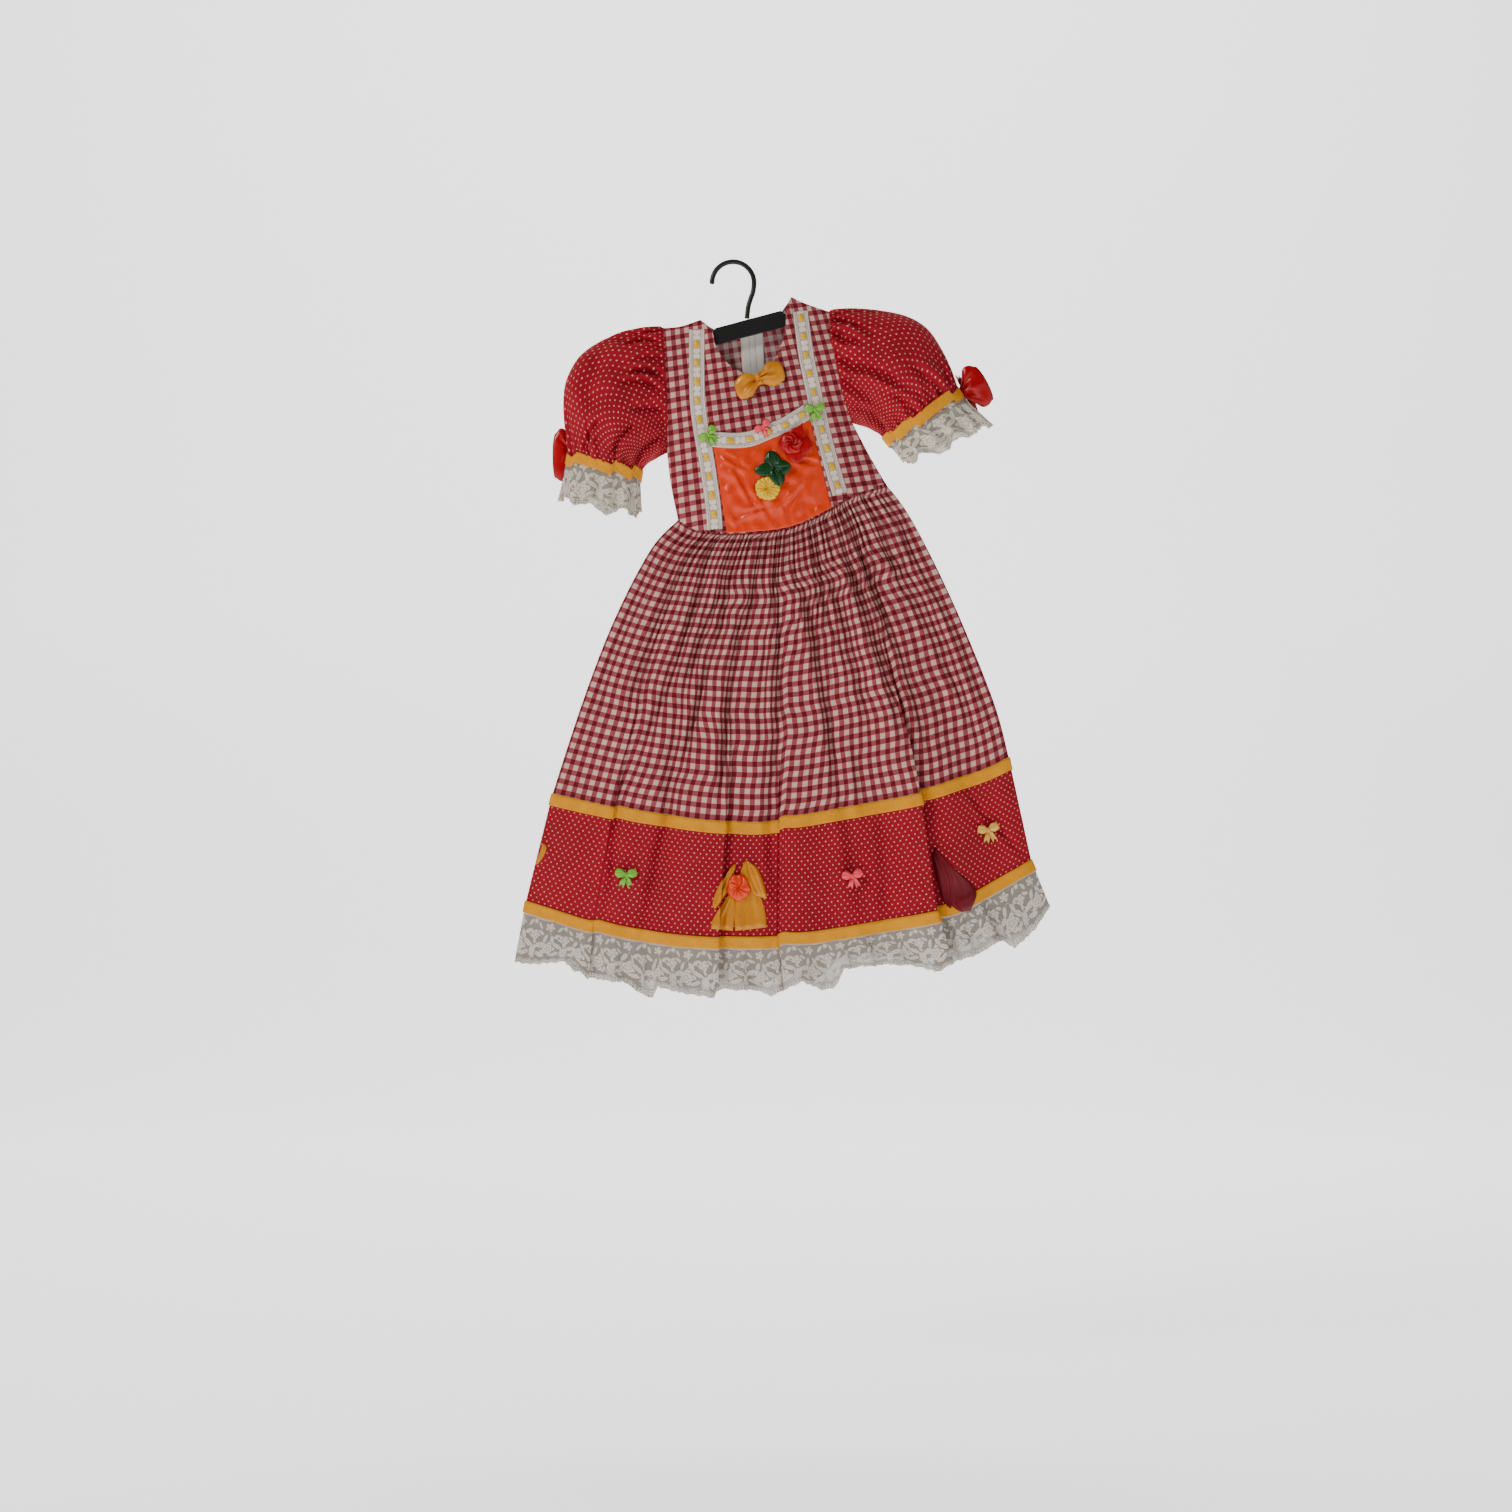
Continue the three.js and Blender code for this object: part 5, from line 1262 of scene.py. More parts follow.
def grid_faces(grids):
    """All the points of several grids, and the four corners of each of their faces."""
    points, faces = [], []
    for grid in grids:
        rows, columns = grid.shape[:2]
        start = len(points)
        points.extend(map(tuple, grid.reshape(-1, 3)))
        for r in range(rows - 1):
            a = start + r * columns
            faces.extend((a + c, a + c + 1, a + columns + c + 1, a + columns + c) for c in range(columns - 1))
    return points, faces


def tree_of(*grids):
    return BVHTree.FromPolygons(*grid_faces(grids))


bodice_tree = tree_of(bodice_front)
band_tree = tree_of(kept["band_front"], kept["tape_upper_front"], kept["tape_lower_front"])


def look_up(tree, x, z):
    """The foremost place of the cloth at x, z and the way it faces."""
    hit, normal, _, _ = tree.ray_cast(Vector((x, -300.0, z)), Vector((0, 1, 0)))
    if hit is None:
        hit, normal, _, _ = tree.find_nearest(Vector((x, -10.0, z)))
    if normal.y > 0:
        normal = -normal
    return np.array(hit), np.array(normal)


def lay(tree, flat, lift):
    """A grid of x, z places laid on the cloth, lifted off it by so many millimetres."""
    lift = np.broadcast_to(lift, flat.shape[:-1])
    out = np.zeros(flat.shape[:-1] + (3,))
    for i in np.ndindex(flat.shape[:-1]):
        x, z = flat[i]
        out[i] = (x, look_up(tree, x, z)[0][1] - lift[i], z)
    return out


def path_beside(path, t, offset):
    """Places beside a path, to its left as it is followed."""
    step = 0.004
    along = unit(path(np.minimum(1, t + step)) - path(np.maximum(0, t - step)))
    return path(t) + np.stack([-along[..., 1], along[..., 0]], -1) * np.asarray(offset)[..., None]


# %% [markdown]
# Beading lace is a narrow lace with a row of slots, and a satin ribbon woven through them, so it
# shows as a row of small dashes. The strip is laid on the bodice as a grid; its pattern of
# cords, eyelets and little bows between the dashes runs along it.

# %% Beading lace strips
STRIP_WIDTH = 18.5
DASH_PITCH = 23.3


def beading_lace(name):
    f = Finish(name, Roughness=0.85, Specular_IOR_Level=0.3)
    u, v = f.cloth_map()
    x = (u + DASH_PITCH / 2).repeat(DASH_PITCH)
    side = v.math("ABSOLUTE")
    cords = (side - 8.2).math("ABSOLUTE").below(0.8, 0.3)
    cords = cords.max((side - 5.6).math("ABSOLUTE").below(0.45, 0.25))
    ticks = u.repeat(2.4).math("ABSOLUTE").below(0.5, 0.25) * (side - 6.9).math("ABSOLUTE").below(1.5, 0.2)
    wing = ((x.math("ABSOLUTE") - 3.4) / 3.2, (side - 1.9) / 2.6)
    wings = (wing[0] * wing[0] + wing[1] * wing[1]).below(1.0, 0.3)
    knot = (x * x + v * v).math("SQRT").below(1.4, 0.4)
    motif = cords.max(ticks).max(wings).max(knot)
    threads = f.net(1.3, 0.14)
    f.colour(f.blend(motif.max(threads * 0.5), linear(176, 142, 134), linear(236, 222, 208)))
    f.alpha((threads * 0.12 + 0.76).max(motif).min(1.0))
    f.relief(motif + threads * 0.25 + f.noise(2.0, 2) * 0.3, 0.6)
    return f.material


beading = beading_lace("beading_lace")
strip_paths = {
    "lace_strip_left": (STRIP_LEFT, 18.6),
    "lace_strip_right": (STRIP_RIGHT, 8.2),
    "lace_strip_across": (STRIP_ACROSS, 22.6),
}
dash_places = []
strip_grids = {}
for name, (rows, first_dash) in strip_paths.items():
    path = curve_through(rows)
    sample = path(np.linspace(0, 1, 200))
    total = np.linalg.norm(np.diff(sample, axis=0), axis=1).sum()
    t = np.linspace(0, 1, int(total / 1.6))
    across = np.linspace(-1, 1, 11)
    wavy = 1 + 0.05 * np.abs(np.sin(math.pi * t * total / 4.8))[:, None]
    offset = across[None] * wavy * STRIP_WIDTH / 2
    flat = path_beside(path, np.broadcast_to(t[:, None], offset.shape), offset)
    over = 0.5 if name == "lace_strip_across" else 0.0
    ripple = 0.2 * np.cos(t * total / 3.1)[:, None] * np.abs(across)[None] ** 3
    points = lay(bodice_tree, flat, 0.55 + over + ripple)
    strip_grids[name] = points
    uv = (t[:, None] * total - first_dash, offset)
    cloth(name, points, uv, [beading], (STRIP_WIDTH, total), thick=0.35)
    place = first_dash
    while place < total - 2:
        dash_places.append((name, place / total, path))
        place += DASH_PITCH
strip_tree = tree_of(*strip_grids.values())
print("dashes of ribbon", len(dash_places))

# %% [markdown]
# The bib pocket is loose orange satin, creased where it was pressed and drawn in at the waist.

# %% Satin pocket
POCKET_SPAN = (0.235, 0.725)
POCKET_BULGE = 2.2
POCKET_CUT = (126, 108)

across_path = curve_through(STRIP_ACROSS)
s = np.linspace(0, 1, 97)[None]
t = np.linspace(0, 1, 73)[:, None]
top = path_beside(across_path, 0.02 + 0.96 * s, np.full(s.shape, -STRIP_WIDTH / 2 + 0.8))
bottom = waist_line(POCKET_SPAN[0] + s * (POCKET_SPAN[1] - POCKET_SPAN[0])) + np.array([0, 0.9])
flat = top * (1 - t[..., None]) + bottom * t[..., None]
bulge = POCKET_BULGE * np.sin(math.pi * t) ** 0.8 * np.sin(math.pi * s) ** 0.5
rumple = creases(flat[..., 0], flat[..., 1], POCKET_CREASES) * 2.2
rumple = rumple + soft_waves(flat[..., 0], flat[..., 1], 31, 14, 26, 0.8)
rumple = rumple + 0.8 * smooth((t - 0.75) * 4) * np.cos(s * 62 + 2 * np.sin(s * 9))
edge = np.minimum(1, 14 * np.minimum(np.minimum(s, 1 - s), np.minimum(t, 1 - t)) + 0.15)
lift = 0.7 + 1.1 * smooth((t - 0.9) * 10) + np.maximum(0, bulge + rumple * edge)
pocket_grid = lay(bodice_tree, flat, lift)
cloth("pocket", pocket_grid, (flat[..., 0], flat[..., 1]), [satins["orange"]], POCKET_CUT, thick=0.4)
pocket_tree = tree_of(pocket_grid, *strip_grids.values(), bodice_front)
print("pocket", pocket_grid.shape[:2])

# %% [markdown]
# Dashes, stitches and zip teeth all repeat, so one Geometry Nodes tree makes them: it takes a
# cloud of points, each with its own turn, puts a small shape on every one, varies its size a
# little, and turns the result into a plain mesh.

# %% A tree that repeats a small shape
def repeat_tree(name, shape, material):
    tree = bpy.data.node_groups.new(name, "GeometryNodeTree")
    face = tree.interface
    face.new_socket("Places", in_out="INPUT", socket_type="NodeSocketGeometry")
    for label, value in (("Size", 1.0), ("Unevenness", 0.05)):
        face.new_socket(label, in_out="INPUT", socket_type="NodeSocketFloat").default_value = value
    face.new_socket("Seed", in_out="INPUT", socket_type="NodeSocketInt").default_value = 1
    face.new_socket("Pieces", in_out="OUTPUT", socket_type="NodeSocketGeometry")
    new = tree.nodes.new
    given, result = new("NodeGroupInput"), new("NodeGroupOutput")
    info = new("GeometryNodeObjectInfo")
    info.inputs["Object"].default_value = shape
    turn = new("GeometryNodeInputNamedAttribute")
    turn.data_type = "FLOAT_VECTOR"
    turn.inputs["Name"].default_value = "turn"
    euler = new("FunctionNodeEulerToRotation")
    vary = new("FunctionNodeRandomValue")
    low, high = new("ShaderNodeMath"), new("ShaderNodeMath")
    low.operation, high.operation = "SUBTRACT", "ADD"
    put = new("GeometryNodeInstanceOnPoints")
    real, paint = new("GeometryNodeRealizeInstances"), new("GeometryNodeSetMaterial")
    paint.inputs["Material"].default_value = material
    link = tree.links.new
    for node in (low, high):
        link(given.outputs["Size"], node.inputs[0])
        link(given.outputs["Unevenness"], node.inputs[1])
    link(low.outputs[0], vary.inputs[2])
    link(high.outputs[0], vary.inputs[3])
    link(given.outputs["Seed"], vary.inputs["Seed"])
    link(turn.outputs[0], euler.inputs[0])
    link(given.outputs["Places"], put.inputs["Points"])
    link(info.outputs["Geometry"], put.inputs["Instance"])
    link(euler.outputs[0], put.inputs["Rotation"])
    link(vary.outputs[1], put.inputs["Scale"])
    link(put.outputs[0], real.inputs[0])
    link(real.outputs[0], paint.inputs[0])
    link(paint.outputs[0], result.inputs[0])
    return tree


def repeat_on(name, shape, material, places, unevenness, seed):
    """places is a list of (point in mm, direction along, direction out)."""
    points, turns = [], []
    for point, along, out in places:
        z = Vector(out).normalized()
        x = (Vector(along) - z * Vector(along).dot(z)).normalized()
        y = z.cross(x)
        turns.append(Matrix((x, y, z)).transposed().to_euler())
        points.append(Vector(point) * MM)
    cloud = bpy.data.meshes.new(name + "_places")
    cloud.from_pydata(points, [], [])
    attribute = cloud.attributes.new("turn", "FLOAT_VECTOR", "POINT")
    attribute.data.foreach_set("vector", np.array([tuple(t) for t in turns]).ravel())
    holder = bpy.data.objects.new(name + "_places", cloud)
    bpy.context.scene.collection.objects.link(holder)
    tree = repeat_tree(name, shape, material)
    modifier = holder.modifiers.new("repeat", "NODES")
    modifier.node_group = tree
    sockets = {item.name: item.identifier for item in tree.interface.items_tree}
    modifier[sockets["Size"]] = 1.0
    modifier[sockets["Unevenness"]] = unevenness
    modifier[sockets["Seed"]] = seed
    bpy.context.view_layer.update()
    evaluated = holder.evaluated_get(bpy.context.evaluated_depsgraph_get())
    mesh = bpy.data.meshes.new_from_object(evaluated)
    mesh.name = name
    bpy.data.objects.remove(holder)
    piece = bpy.data.objects.new(name, mesh)
    bpy.context.scene.collection.objects.link(piece)
    mesh.shade_smooth()
    keep(name, piece)
    print(name, len(places), "times,", len(mesh.polygons), "faces")


def pillow(name, long, wide, high, rows, columns):
    """A low rounded shape lying flat, for a stitch, a dash of ribbon or a tooth."""
    points, faces = [], []
    for r in range(1, rows):
        a = math.pi * r / rows
        for c in range(columns * 2):
            b = math.pi * c / columns
            round_x, round_y = math.sin(a) ** 0.7 * math.cos(b), math.sin(a) ** 0.7 * math.sin(b)
            points.append((round_x * long / 2 * MM, round_y * wide / 2 * MM, math.cos(a) * high / 2 * MM))
    n = columns * 2
    for r in range(rows - 2):
        for c in range(n):
            faces.append((r * n + c, (r + 1) * n + c, (r + 1) * n + (c + 1) % n, r * n + (c + 1) % n))
    faces.append(list(range(n)))
    faces.append([(rows - 2) * n + c for c in reversed(range(n))])
    shape = mesh_object(name, points, faces)
    shape.hide_render = shape.hide_viewport = True
    return shape


# %% Ribbon dashes and stitches
dash_shape = pillow("dash_shape", 10.0, 6.6, 2.2, 6, 6)
places = []
for name, t, path in dash_places:
    ahead = path(min(1, t + 0.01)) - path(max(0, t - 0.01))
    at = path(t)
    hit, normal = look_up(strip_tree, at[0], at[1])
    places.append((hit + normal * 0.25, (ahead[0], 0, ahead[1]), normal))
repeat_on("ribbon_dashes", dash_shape, satins["bright_yellow"], places, 0.08, 4)

sewing_thread = plain_finish(
    "sewing_thread", 8, (196, 116, 8), (236, 168, 40), 0.5, 0.1, 2, Roughness=0.7, Sheen_Weight=0.3
)
stitch_shape = pillow("stitch_shape", 2.3, 0.55, 0.4, 4, 4)
STITCH_PITCH = 3.1


def stitches_along(line, normals, lift):
    run = run_along(line)
    at = np.arange(STITCH_PITCH, run[-1], STITCH_PITCH)
    point = np.stack([np.interp(at, run, line[:, k]) for k in range(3)], -1)
    ahead = np.stack([np.interp(at + 0.5, run, line[:, k]) for k in range(3)], -1) - point
    normal = np.stack([np.interp(at, run, normals[:, k]) for k in range(3)], -1)
    return [(p + n * lift, a, n) for p, a, n in zip(point, ahead, normal) if np.linalg.norm(a) > 0.01]


places = []
for side in (-1, 1):
    for kind in ("tape_upper", "tape_lower"):
        grid = kept[f"{kind}_{NAMES[side]}"]
        normal = outward(grid, side)
        for row in (1, -2):
            places += stitches_along(grid[row], normal[row], 0.62)
repeat_on("tape_stitches", stitch_shape, sewing_thread, places, 0.08, 5)
places = []
for label in ("left", "right"):
    grid = kept[f"cuff_tape_{label}"]
    normal = ring_outward(grid)
    for row in (1, -2):
        places += stitches_along(grid[row], normal[row], 0.5)
repeat_on("cuff_stitches", stitch_shape, sewing_thread, places, 0.08, 6)

# %% [markdown]
# The zip is a woven tape on each side of a row of metal teeth. The tape is seen inside through
# the neck. The teeth sit in the slot between the two back panels, one set from each side.

# %% Zip
ZIP_HALF = 13.0
TOOTH_PITCH = 2.6


def zip_tape_finish(name):
    f = Finish(name, Roughness=0.85, Sheen_Weight=0.2)
    u, v = f.cloth_map()
    side = u.math("ABSOLUTE")
    rib = (u.sin(0.9) * 0.5 + 0.5) * (side - 3.0).below(0.0, 0.1)
    weave = (u + v * 0.6).sin(1.1) * 0.5 + 0.5
    shaded_groove = (side - 3.4).math("ABSOLUTE").below(0.35, 0.2)
    # The groove beside the teeth is painted darker: painted shade in the recess.
    f.colour(f.blend(shaded_groove.max(weave * 0.25), linear(238, 232, 222), linear(196, 186, 174)))
    f.relief(weave * 0.5 + rib * 0.4 - shaded_groove, 0.4)
    return f.material


zip_rows = np.linspace(BODICE_ROWS, 0, 90)[:, None]
zip_u = np.linspace(-1, 1, 15)[None]
edges = [bodice_point(1, np.full((1, 1), e), zip_rows) for e in (0.0, 1.0)]
panel_width = (edges[1] - edges[0])[..., 0]
at_u = 0.5 + zip_u * ZIP_HALF / panel_width
tape = creased_back(at_u, zip_rows)
tape[..., 1] -= 0.25 + 1.0 + 0.15 * np.cos(zip_u * 9)
down = length_down(tape)
cloth("zip_tape", tape, (zip_u * ZIP_HALF, down), [zip_tape_finish("zip_tape")],
      (2 * ZIP_HALF, down[-1].mean()), thick=0.7, flip=True)

metal = plain_finish(
    "zip_metal", 1.5, (176, 176, 172), (214, 214, 210), 0.4, 0.05, Metallic=1.0, Roughness=0.32
)
centre = tape[:, 7] + np.array([0, 0.95, 0])
run = run_along(centre)
places = []
for k, at in enumerate(np.arange(12.0, run[-1] - 4, TOOTH_PITCH / 2)):
    point = np.array([np.interp(at, run, centre[:, c]) for c in range(3)])
    ahead = np.array([np.interp(at + 1, run, centre[:, c]) for c in range(3)]) - point
    places.append((point + np.array([0.5 if k % 2 else -0.5, 0, 0]), np.cross(ahead, (0, 1, 0)), (0, 1, 0)))
repeat_on("zip_teeth", pillow("tooth_shape", 2.6, 0.95, 1.1, 5, 4), metal, places, 0.0, 7)


def softened(name, node, body, material, width):
    """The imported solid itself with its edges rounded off, for a small hard piece."""
    piece = bpy.data.objects.new(name, frame["nodes"][node].data.copy())
    bpy.context.scene.collection.objects.link(piece)
    piece.data.materials.clear()
    piece.data.materials.append(material)
    edge = piece.modifiers.new("rounded_edges", "BEVEL")
    edge.width = width * MM
    edge.segments = 2
    edge.limit_method = "ANGLE"
    piece.data.shade_smooth()
    keep(name, piece, [node], body)


body_of = {node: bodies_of(thing)[0] for node, thing in frame["nodes"].items()}
softened("slider_body", "zip_slider", body_of["zip_slider"], metal, 0.35)
softened("pull_tab", "zip_pull", body_of["zip_pull"], metal, 0.2)
print("zip teeth", len(places), "pull rides", body_of["zip_pull"])

# %% [markdown]
# A ribbon bow is a band folded to a loop on each side of a knot. Each loop is a sheet that leaves
# the knot in front, folds over at its outer end and comes back behind, pinched near the knot,
# where its creases start. Tails and petals are sheets drawn between two edges.

# %% Shapes of ribbon
def loop(origin, out, up, face, length, half, depth, seed=1, layers=(41, 25), fold=1.0, pinch=0.34):
    """One ribbon loop; out, up and face are directions, sizes are in millimetres."""
    out, up, face = (np.array(v, float) / np.linalg.norm(v) for v in (out, up, face))
    random = np.random.default_rng(seed)
    p = np.linspace(0, 1, layers[0])[None]
    v = np.linspace(-1, 1, layers[1])[:, None]
    r = np.sin(math.pi * p) ** 0.85
    spread = pinch + (1 - pinch) * smooth(r / 0.5)
    tall = half * spread * (1 - 0.16 * smooth((r - 0.6) / 0.4) * np.abs(v) ** 2)
    reach = length * r * (1 - 0.1 * v**2 * smooth((r - 0.5) * 2))
    lift = 0.5 + 0.5 * np.cos(math.pi * p)
    lift = depth * (0.5 + (lift - 0.5) * (0.35 + 0.65 * smooth(r / 0.45)))
    lift = lift * (1 - 0.35 * v**4) + 0.25
    ridge = np.zeros(np.broadcast(p, v).shape)
    for _ in range(4):
        place, size, extent = random.uniform(-0.8, 0.8), random.uniform(0.1, 0.22), random.uniform(0.45, 1.0)
        one = random.choice([-1, 1]) * np.exp(-(((v - place * (0.5 + 0.5 * r)) / size) ** 2))
        ridge += one * smooth(1.15 - r / extent)
    ridge = ridge * fold * depth * 0.2 * np.where(p < 0.5, 1.0, -0.4)
    height = v * tall - 0.08 * half * r**2
    return origin + reach[..., None] * out + height[..., None] * up + (lift + ridge)[..., None] * face


def knot(origin, across, up, face, wide, tall, depth):
    """A short band wrapped round the middle of a bow."""
    across, up, face = (np.array(v, float) / np.linalg.norm(v) for v in (across, up, face))
    a = np.linspace(-0.12, 1.12, 19)[None] * math.pi
    b = np.linspace(-1, 1, 15)[:, None]
    waist = 1 + 0.25 * b**2
    ridges = 1 + 0.05 * np.cos(b * 11)
    x = -np.cos(a) * wide / 2 * waist
    y = 0.3 + np.maximum(np.sin(a), -0.1) * depth * (1 - 0.3 * np.abs(b) ** 3) * ridges
    z = b * tall / 2 + np.zeros_like(a)
    return origin + x[..., None] * across + z[..., None] * up + y[..., None] * face


def drape(left, right, folds, base, slope=0.0):
    """A sheet between two edges (x, z in millimetres) on the hem band. It lies base millimetres off
    the cloth, slope more at its end; each fold is (place across, width, height, share at the top)."""
    t = np.linspace(0, 1, 31)[:, None]
    u = np.linspace(0, 1, 25)[None]
    a, b = curve_through(left)(t), curve_through(right)(t)
    total = base + slope * t + np.zeros(np.broadcast(u, t).shape)
    for place, width, height, grow in folds:
        total = total + height * np.exp(-(((u - place) / width) ** 2)) * (grow + (1 - grow) * smooth(t * 2))
    rim = smooth(np.minimum(np.minimum(u, 1 - u) * 9, np.minimum(t, 1 - t) * 9))
    lift = np.maximum(0.45, 0.5 + (total - 0.5) * (0.35 + 0.65 * rim))
    return lay(band_tree, a * (1 - u[..., None]) + b * u[..., None], lift)


def cloth_area(grid):
    """Area of a sheet in square millimetres, folds and all."""
    one, other = grid[1:, 1:] - grid[:-1, :-1], grid[1:, :-1] - grid[:-1, 1:]
    return np.linalg.norm(np.cross(one, other), axis=-1).sum() / 2


def ribbon_piece(name, grids, material, stands_for, ribbon, thick=0.35):
    """Several sheets of ribbon, as wide as ribbon says, joined into one piece."""
    flat_sizes[name] = (ribbon, sum(cloth_area(grid) for grid in grids) / ribbon)
    piece = mesh_object(name, *grid_faces([grid * MM for grid in grids]))
    thicken(piece, thick)
    piece.data.materials.append(satins[material])
    keep(name, piece, [stands_for])


def seat_of(tree, x, z, reach):
    """How far forward a bow has to sit to clear the cloth under it."""
    steps = (-reach, 0, reach)
    return min(look_up(tree, x + dx, z + dz / 2)[0][1] for dx in steps for dz in steps)


READY_RIBBON = 10


def small_bow(name, tree, x, z, turn, size, material, stands_for):
    """A ready-made ribbon bow: two loops, a knot and two notched tails."""
    c, s = math.cos(math.radians(turn)), math.sin(math.radians(turn))
    across, up, face = np.array([c, 0, s]), np.array([-s, 0, c]), np.array([0, -1.0, 0])
    origin = np.array([x, seat_of(tree, x, z, size * 0.3) - 0.6, z])
    grids = []
    for side in (-1, 1):
        out = side * across * 0.95 + up * 0.3
        grids.append(loop(origin, out, np.cross(out, face) * -side, face, size * 0.5, size * 0.2, size * 0.22,
                          5 + side, (25, 13)))
        t = np.linspace(0, 1, 15)[:, None]
        v = np.linspace(-1, 1, 11)[None]
        along = side * across * 0.36 - up * 0.93
        beside = np.cross(along, face)
        notch = 1 - 0.26 * smooth((t - 0.75) * 4) * (1 - np.abs(v))
        lift = 0.5 + size * 0.06 * (np.sin(t * 5 + side) + 0.6 * np.cos(v * 2.5 + t * 3))
        grid = origin + (t * size * 0.62 * notch)[..., None] * along
        grid = grid + (v * size * 0.115 * (0.5 + 0.5 * smooth(t * 3)))[..., None] * beside
        grids.append(grid + np.maximum(0.2, lift)[..., None] * face)
    grids.append(knot(origin, across, up, face, size * 0.17, size * 0.22, size * 0.2))
    ribbon_piece(name, grids, material, stands_for, READY_RIBBON, 0.3)


def petal(origin, turn, length, half, lift, seed, sharp=0.0, crease_depth=1.0):
    """One gathered petal that lies on the cloth around a flower's centre."""
    random = np.random.default_rng(seed)
    t = np.linspace(0, 1, 17)[:, None]
    u = np.linspace(-1, 1, 17)[None]
    a = math.radians(turn)
    out, beside = np.array([math.cos(a), 0, math.sin(a)]), np.array([-math.sin(a), 0, math.cos(a)])
    wide = half * (0.22 + 0.78 * np.sin(math.pi * np.minimum(1, t * 0.92) ** 0.8) ** 0.5)
    wide = wide * (1 - sharp * smooth((t - 0.55) / 0.45))
    reach = length * t * (1 - (0.12 - 0.12 * sharp) * u**2)
    reach = reach + sharp * length * 0.25 * smooth((t - 0.6) * 2.5) * (1 - np.abs(u)) ** 2
    dome = np.sin(math.pi * np.clip(t * 0.95, 0, 1)) ** 0.6 * (1 - 0.75 * np.abs(u) ** 2.5)
    folds = sum(
        random.uniform(0.4, 1) * np.cos(u * random.uniform(4, 9) + random.uniform(0, 6)) for _ in range(3)
    )
    middle_fold = -np.exp(-((u / 0.22) ** 2)) * (1 - t) ** 0.5
    high = 0.5 + lift * dome + crease_depth * (0.28 * folds * (1 - t * 0.7) + 1.1 * middle_fold)
    return (origin + reach[..., None] * out + (u * wide)[..., None] * beside
            - np.maximum(0.3, high)[..., None] * np.array([0, 1.0, 0]))


def gathered_disc(origin, radius, high, folds, twist, wobble, stretch, hollow, seed):
    """A circle of ribbon drawn up round its middle, with folds that run to the centre."""
    random = np.random.default_rng(seed)
    ring = np.linspace(0.03, 1, 23)[:, None]
    a = np.linspace(0, 2 * math.pi, 121)[None]
    phase = random.uniform(0, 6, 3)
    edge = 1 + wobble * np.cos(folds * a + phase[0]) + wobble * np.cos(5 * a + phase[1])
    r = radius * (1 + (edge - 1) * ring**3) * ring
    swirl = a + twist * (1 - ring)
    wave = np.cos(folds * swirl + phase[2]) + 0.5 * np.cos((folds + 4) * swirl)
    dome = np.sqrt(np.maximum(0, 1 - np.minimum(1, ring) ** 3.5))
    dome = dome * (1 - hollow * np.exp(-((ring / 0.22) ** 2)))
    lift = 0.4 + high * dome * (1 + 0.2 * wave * (1 - 0.75 * ring) + 0.05 * wave)
    x, z = r * np.cos(a), stretch * r * np.sin(a)
    y = -lift + np.zeros_like(a)
    return origin + np.stack([x, y, z], -1)


# %% [markdown]
# At the neck sits a padded satin bow. The ready-made small bows are of narrow polyester ribbon,
# and mark the pocket's strip and the hem band.

# %% Small bows
tilt = math.radians(18.5)
across, up = np.array([math.cos(tilt), 0, math.sin(tilt)]), np.array([-math.sin(tilt), 0, math.cos(tilt)])
face = (0, -1, 0)
origin = np.array([31.5, seat_of(bodice_tree, 33, -160, 8) - 0.8, -144.0])
grids = [
    loop(origin, -across - 0.12 * up, up, face, 31, 14.5, 10, 3, fold=2.2, pinch=0.42),
    loop(origin, across + 0.08 * up, up, face, 32, 14.5, 10, 8, fold=2.2, pinch=0.42),
    knot(origin, across, up, face, 10, 15, 10.5),
]
ribbon_piece("neck_bow", grids, "yellow", "bow_neck", 29)
small_bow("lime_bow_left", strip_tree, -29.5, -211, 42, 25, "lime", "bow_green_left")
small_bow("pink_bow_pocket", strip_tree, 36.5, -202, 38, 22, "pink", "bow_pink")
small_bow("lime_bow_right", strip_tree, 99.5, -180, 8, 25, "lime", "bow_green_right")
small_bow("lime_bow_band", band_tree, -129.5, -744, -2, 27, "lime", "bow_band_green")
small_bow("pink_bow_band", band_tree, 144.5, -745, 10, 26, "pink", "bow_band_pink")
small_bow("cream_bow_band", band_tree, 311, -690, 12, 27, "cream", "bow_band_cream")

# %% [markdown]
# The three large bows of the hem band have come loose and hang down: broad satin bands folded
# over at the top, with the tails spread below. A gathered rosette covers the middle of the yellow
# one. The wine bow is half under the deep fold of the skirt, and the last one is on the side edge.

# %% Large bows of the band
grids = [
    drape([(-1, -762), (-11, -776), (-24, -797), (-26, -808)], [(1, -764), (4, -780), (2, -796), (0, -811)],
          [(0.3, 0.1, 1.8, 0.6), (0.72, 0.14, 2.4, 0.5), (0.05, 0.08, 1.2, 0.3)], 1.0, 0.6),
    drape([(4, -764), (3, -780), (2, -796), (3, -811)], [(28, -760), (36, -776), (40, -794), (41, -807)],
          [(0.16, 0.1, 2.2, 0.6), (0.46, 0.09, 1.6, 0.5), (0.8, 0.14, 2.3, 0.6)], 1.3, 0.8),
    drape([(1, -731), (-10, -745), (-19, -761), (-24, -776), (-22, -784)],
          [(4, -731), (0, -748), (-5, -761), (-12, -772), (-21, -784)],
          [(0.15, 0.13, 1.6, 0.8), (0.62, 0.2, 3.0, 0.6)], 2.4),
    drape([(15, -727), (10, -738), (11, -750), (19, -762), (24, -769)],
          [(18, -727), (29, -735), (36, -750), (40, -764), (41, -772)],
          [(0.3, 0.12, 2.6, 0.8), (0.62, 0.1, 1.5, 0.7), (0.86, 0.12, 2.4, 0.5)], 2.6),
]
ribbon_piece("yellow_bow_band", grids, "yellow", "bow_band_yellow", 38)
rose_seat = np.array([7.0, seat_of(band_tree, 7, -758, 9) - 3.4, -758.5])
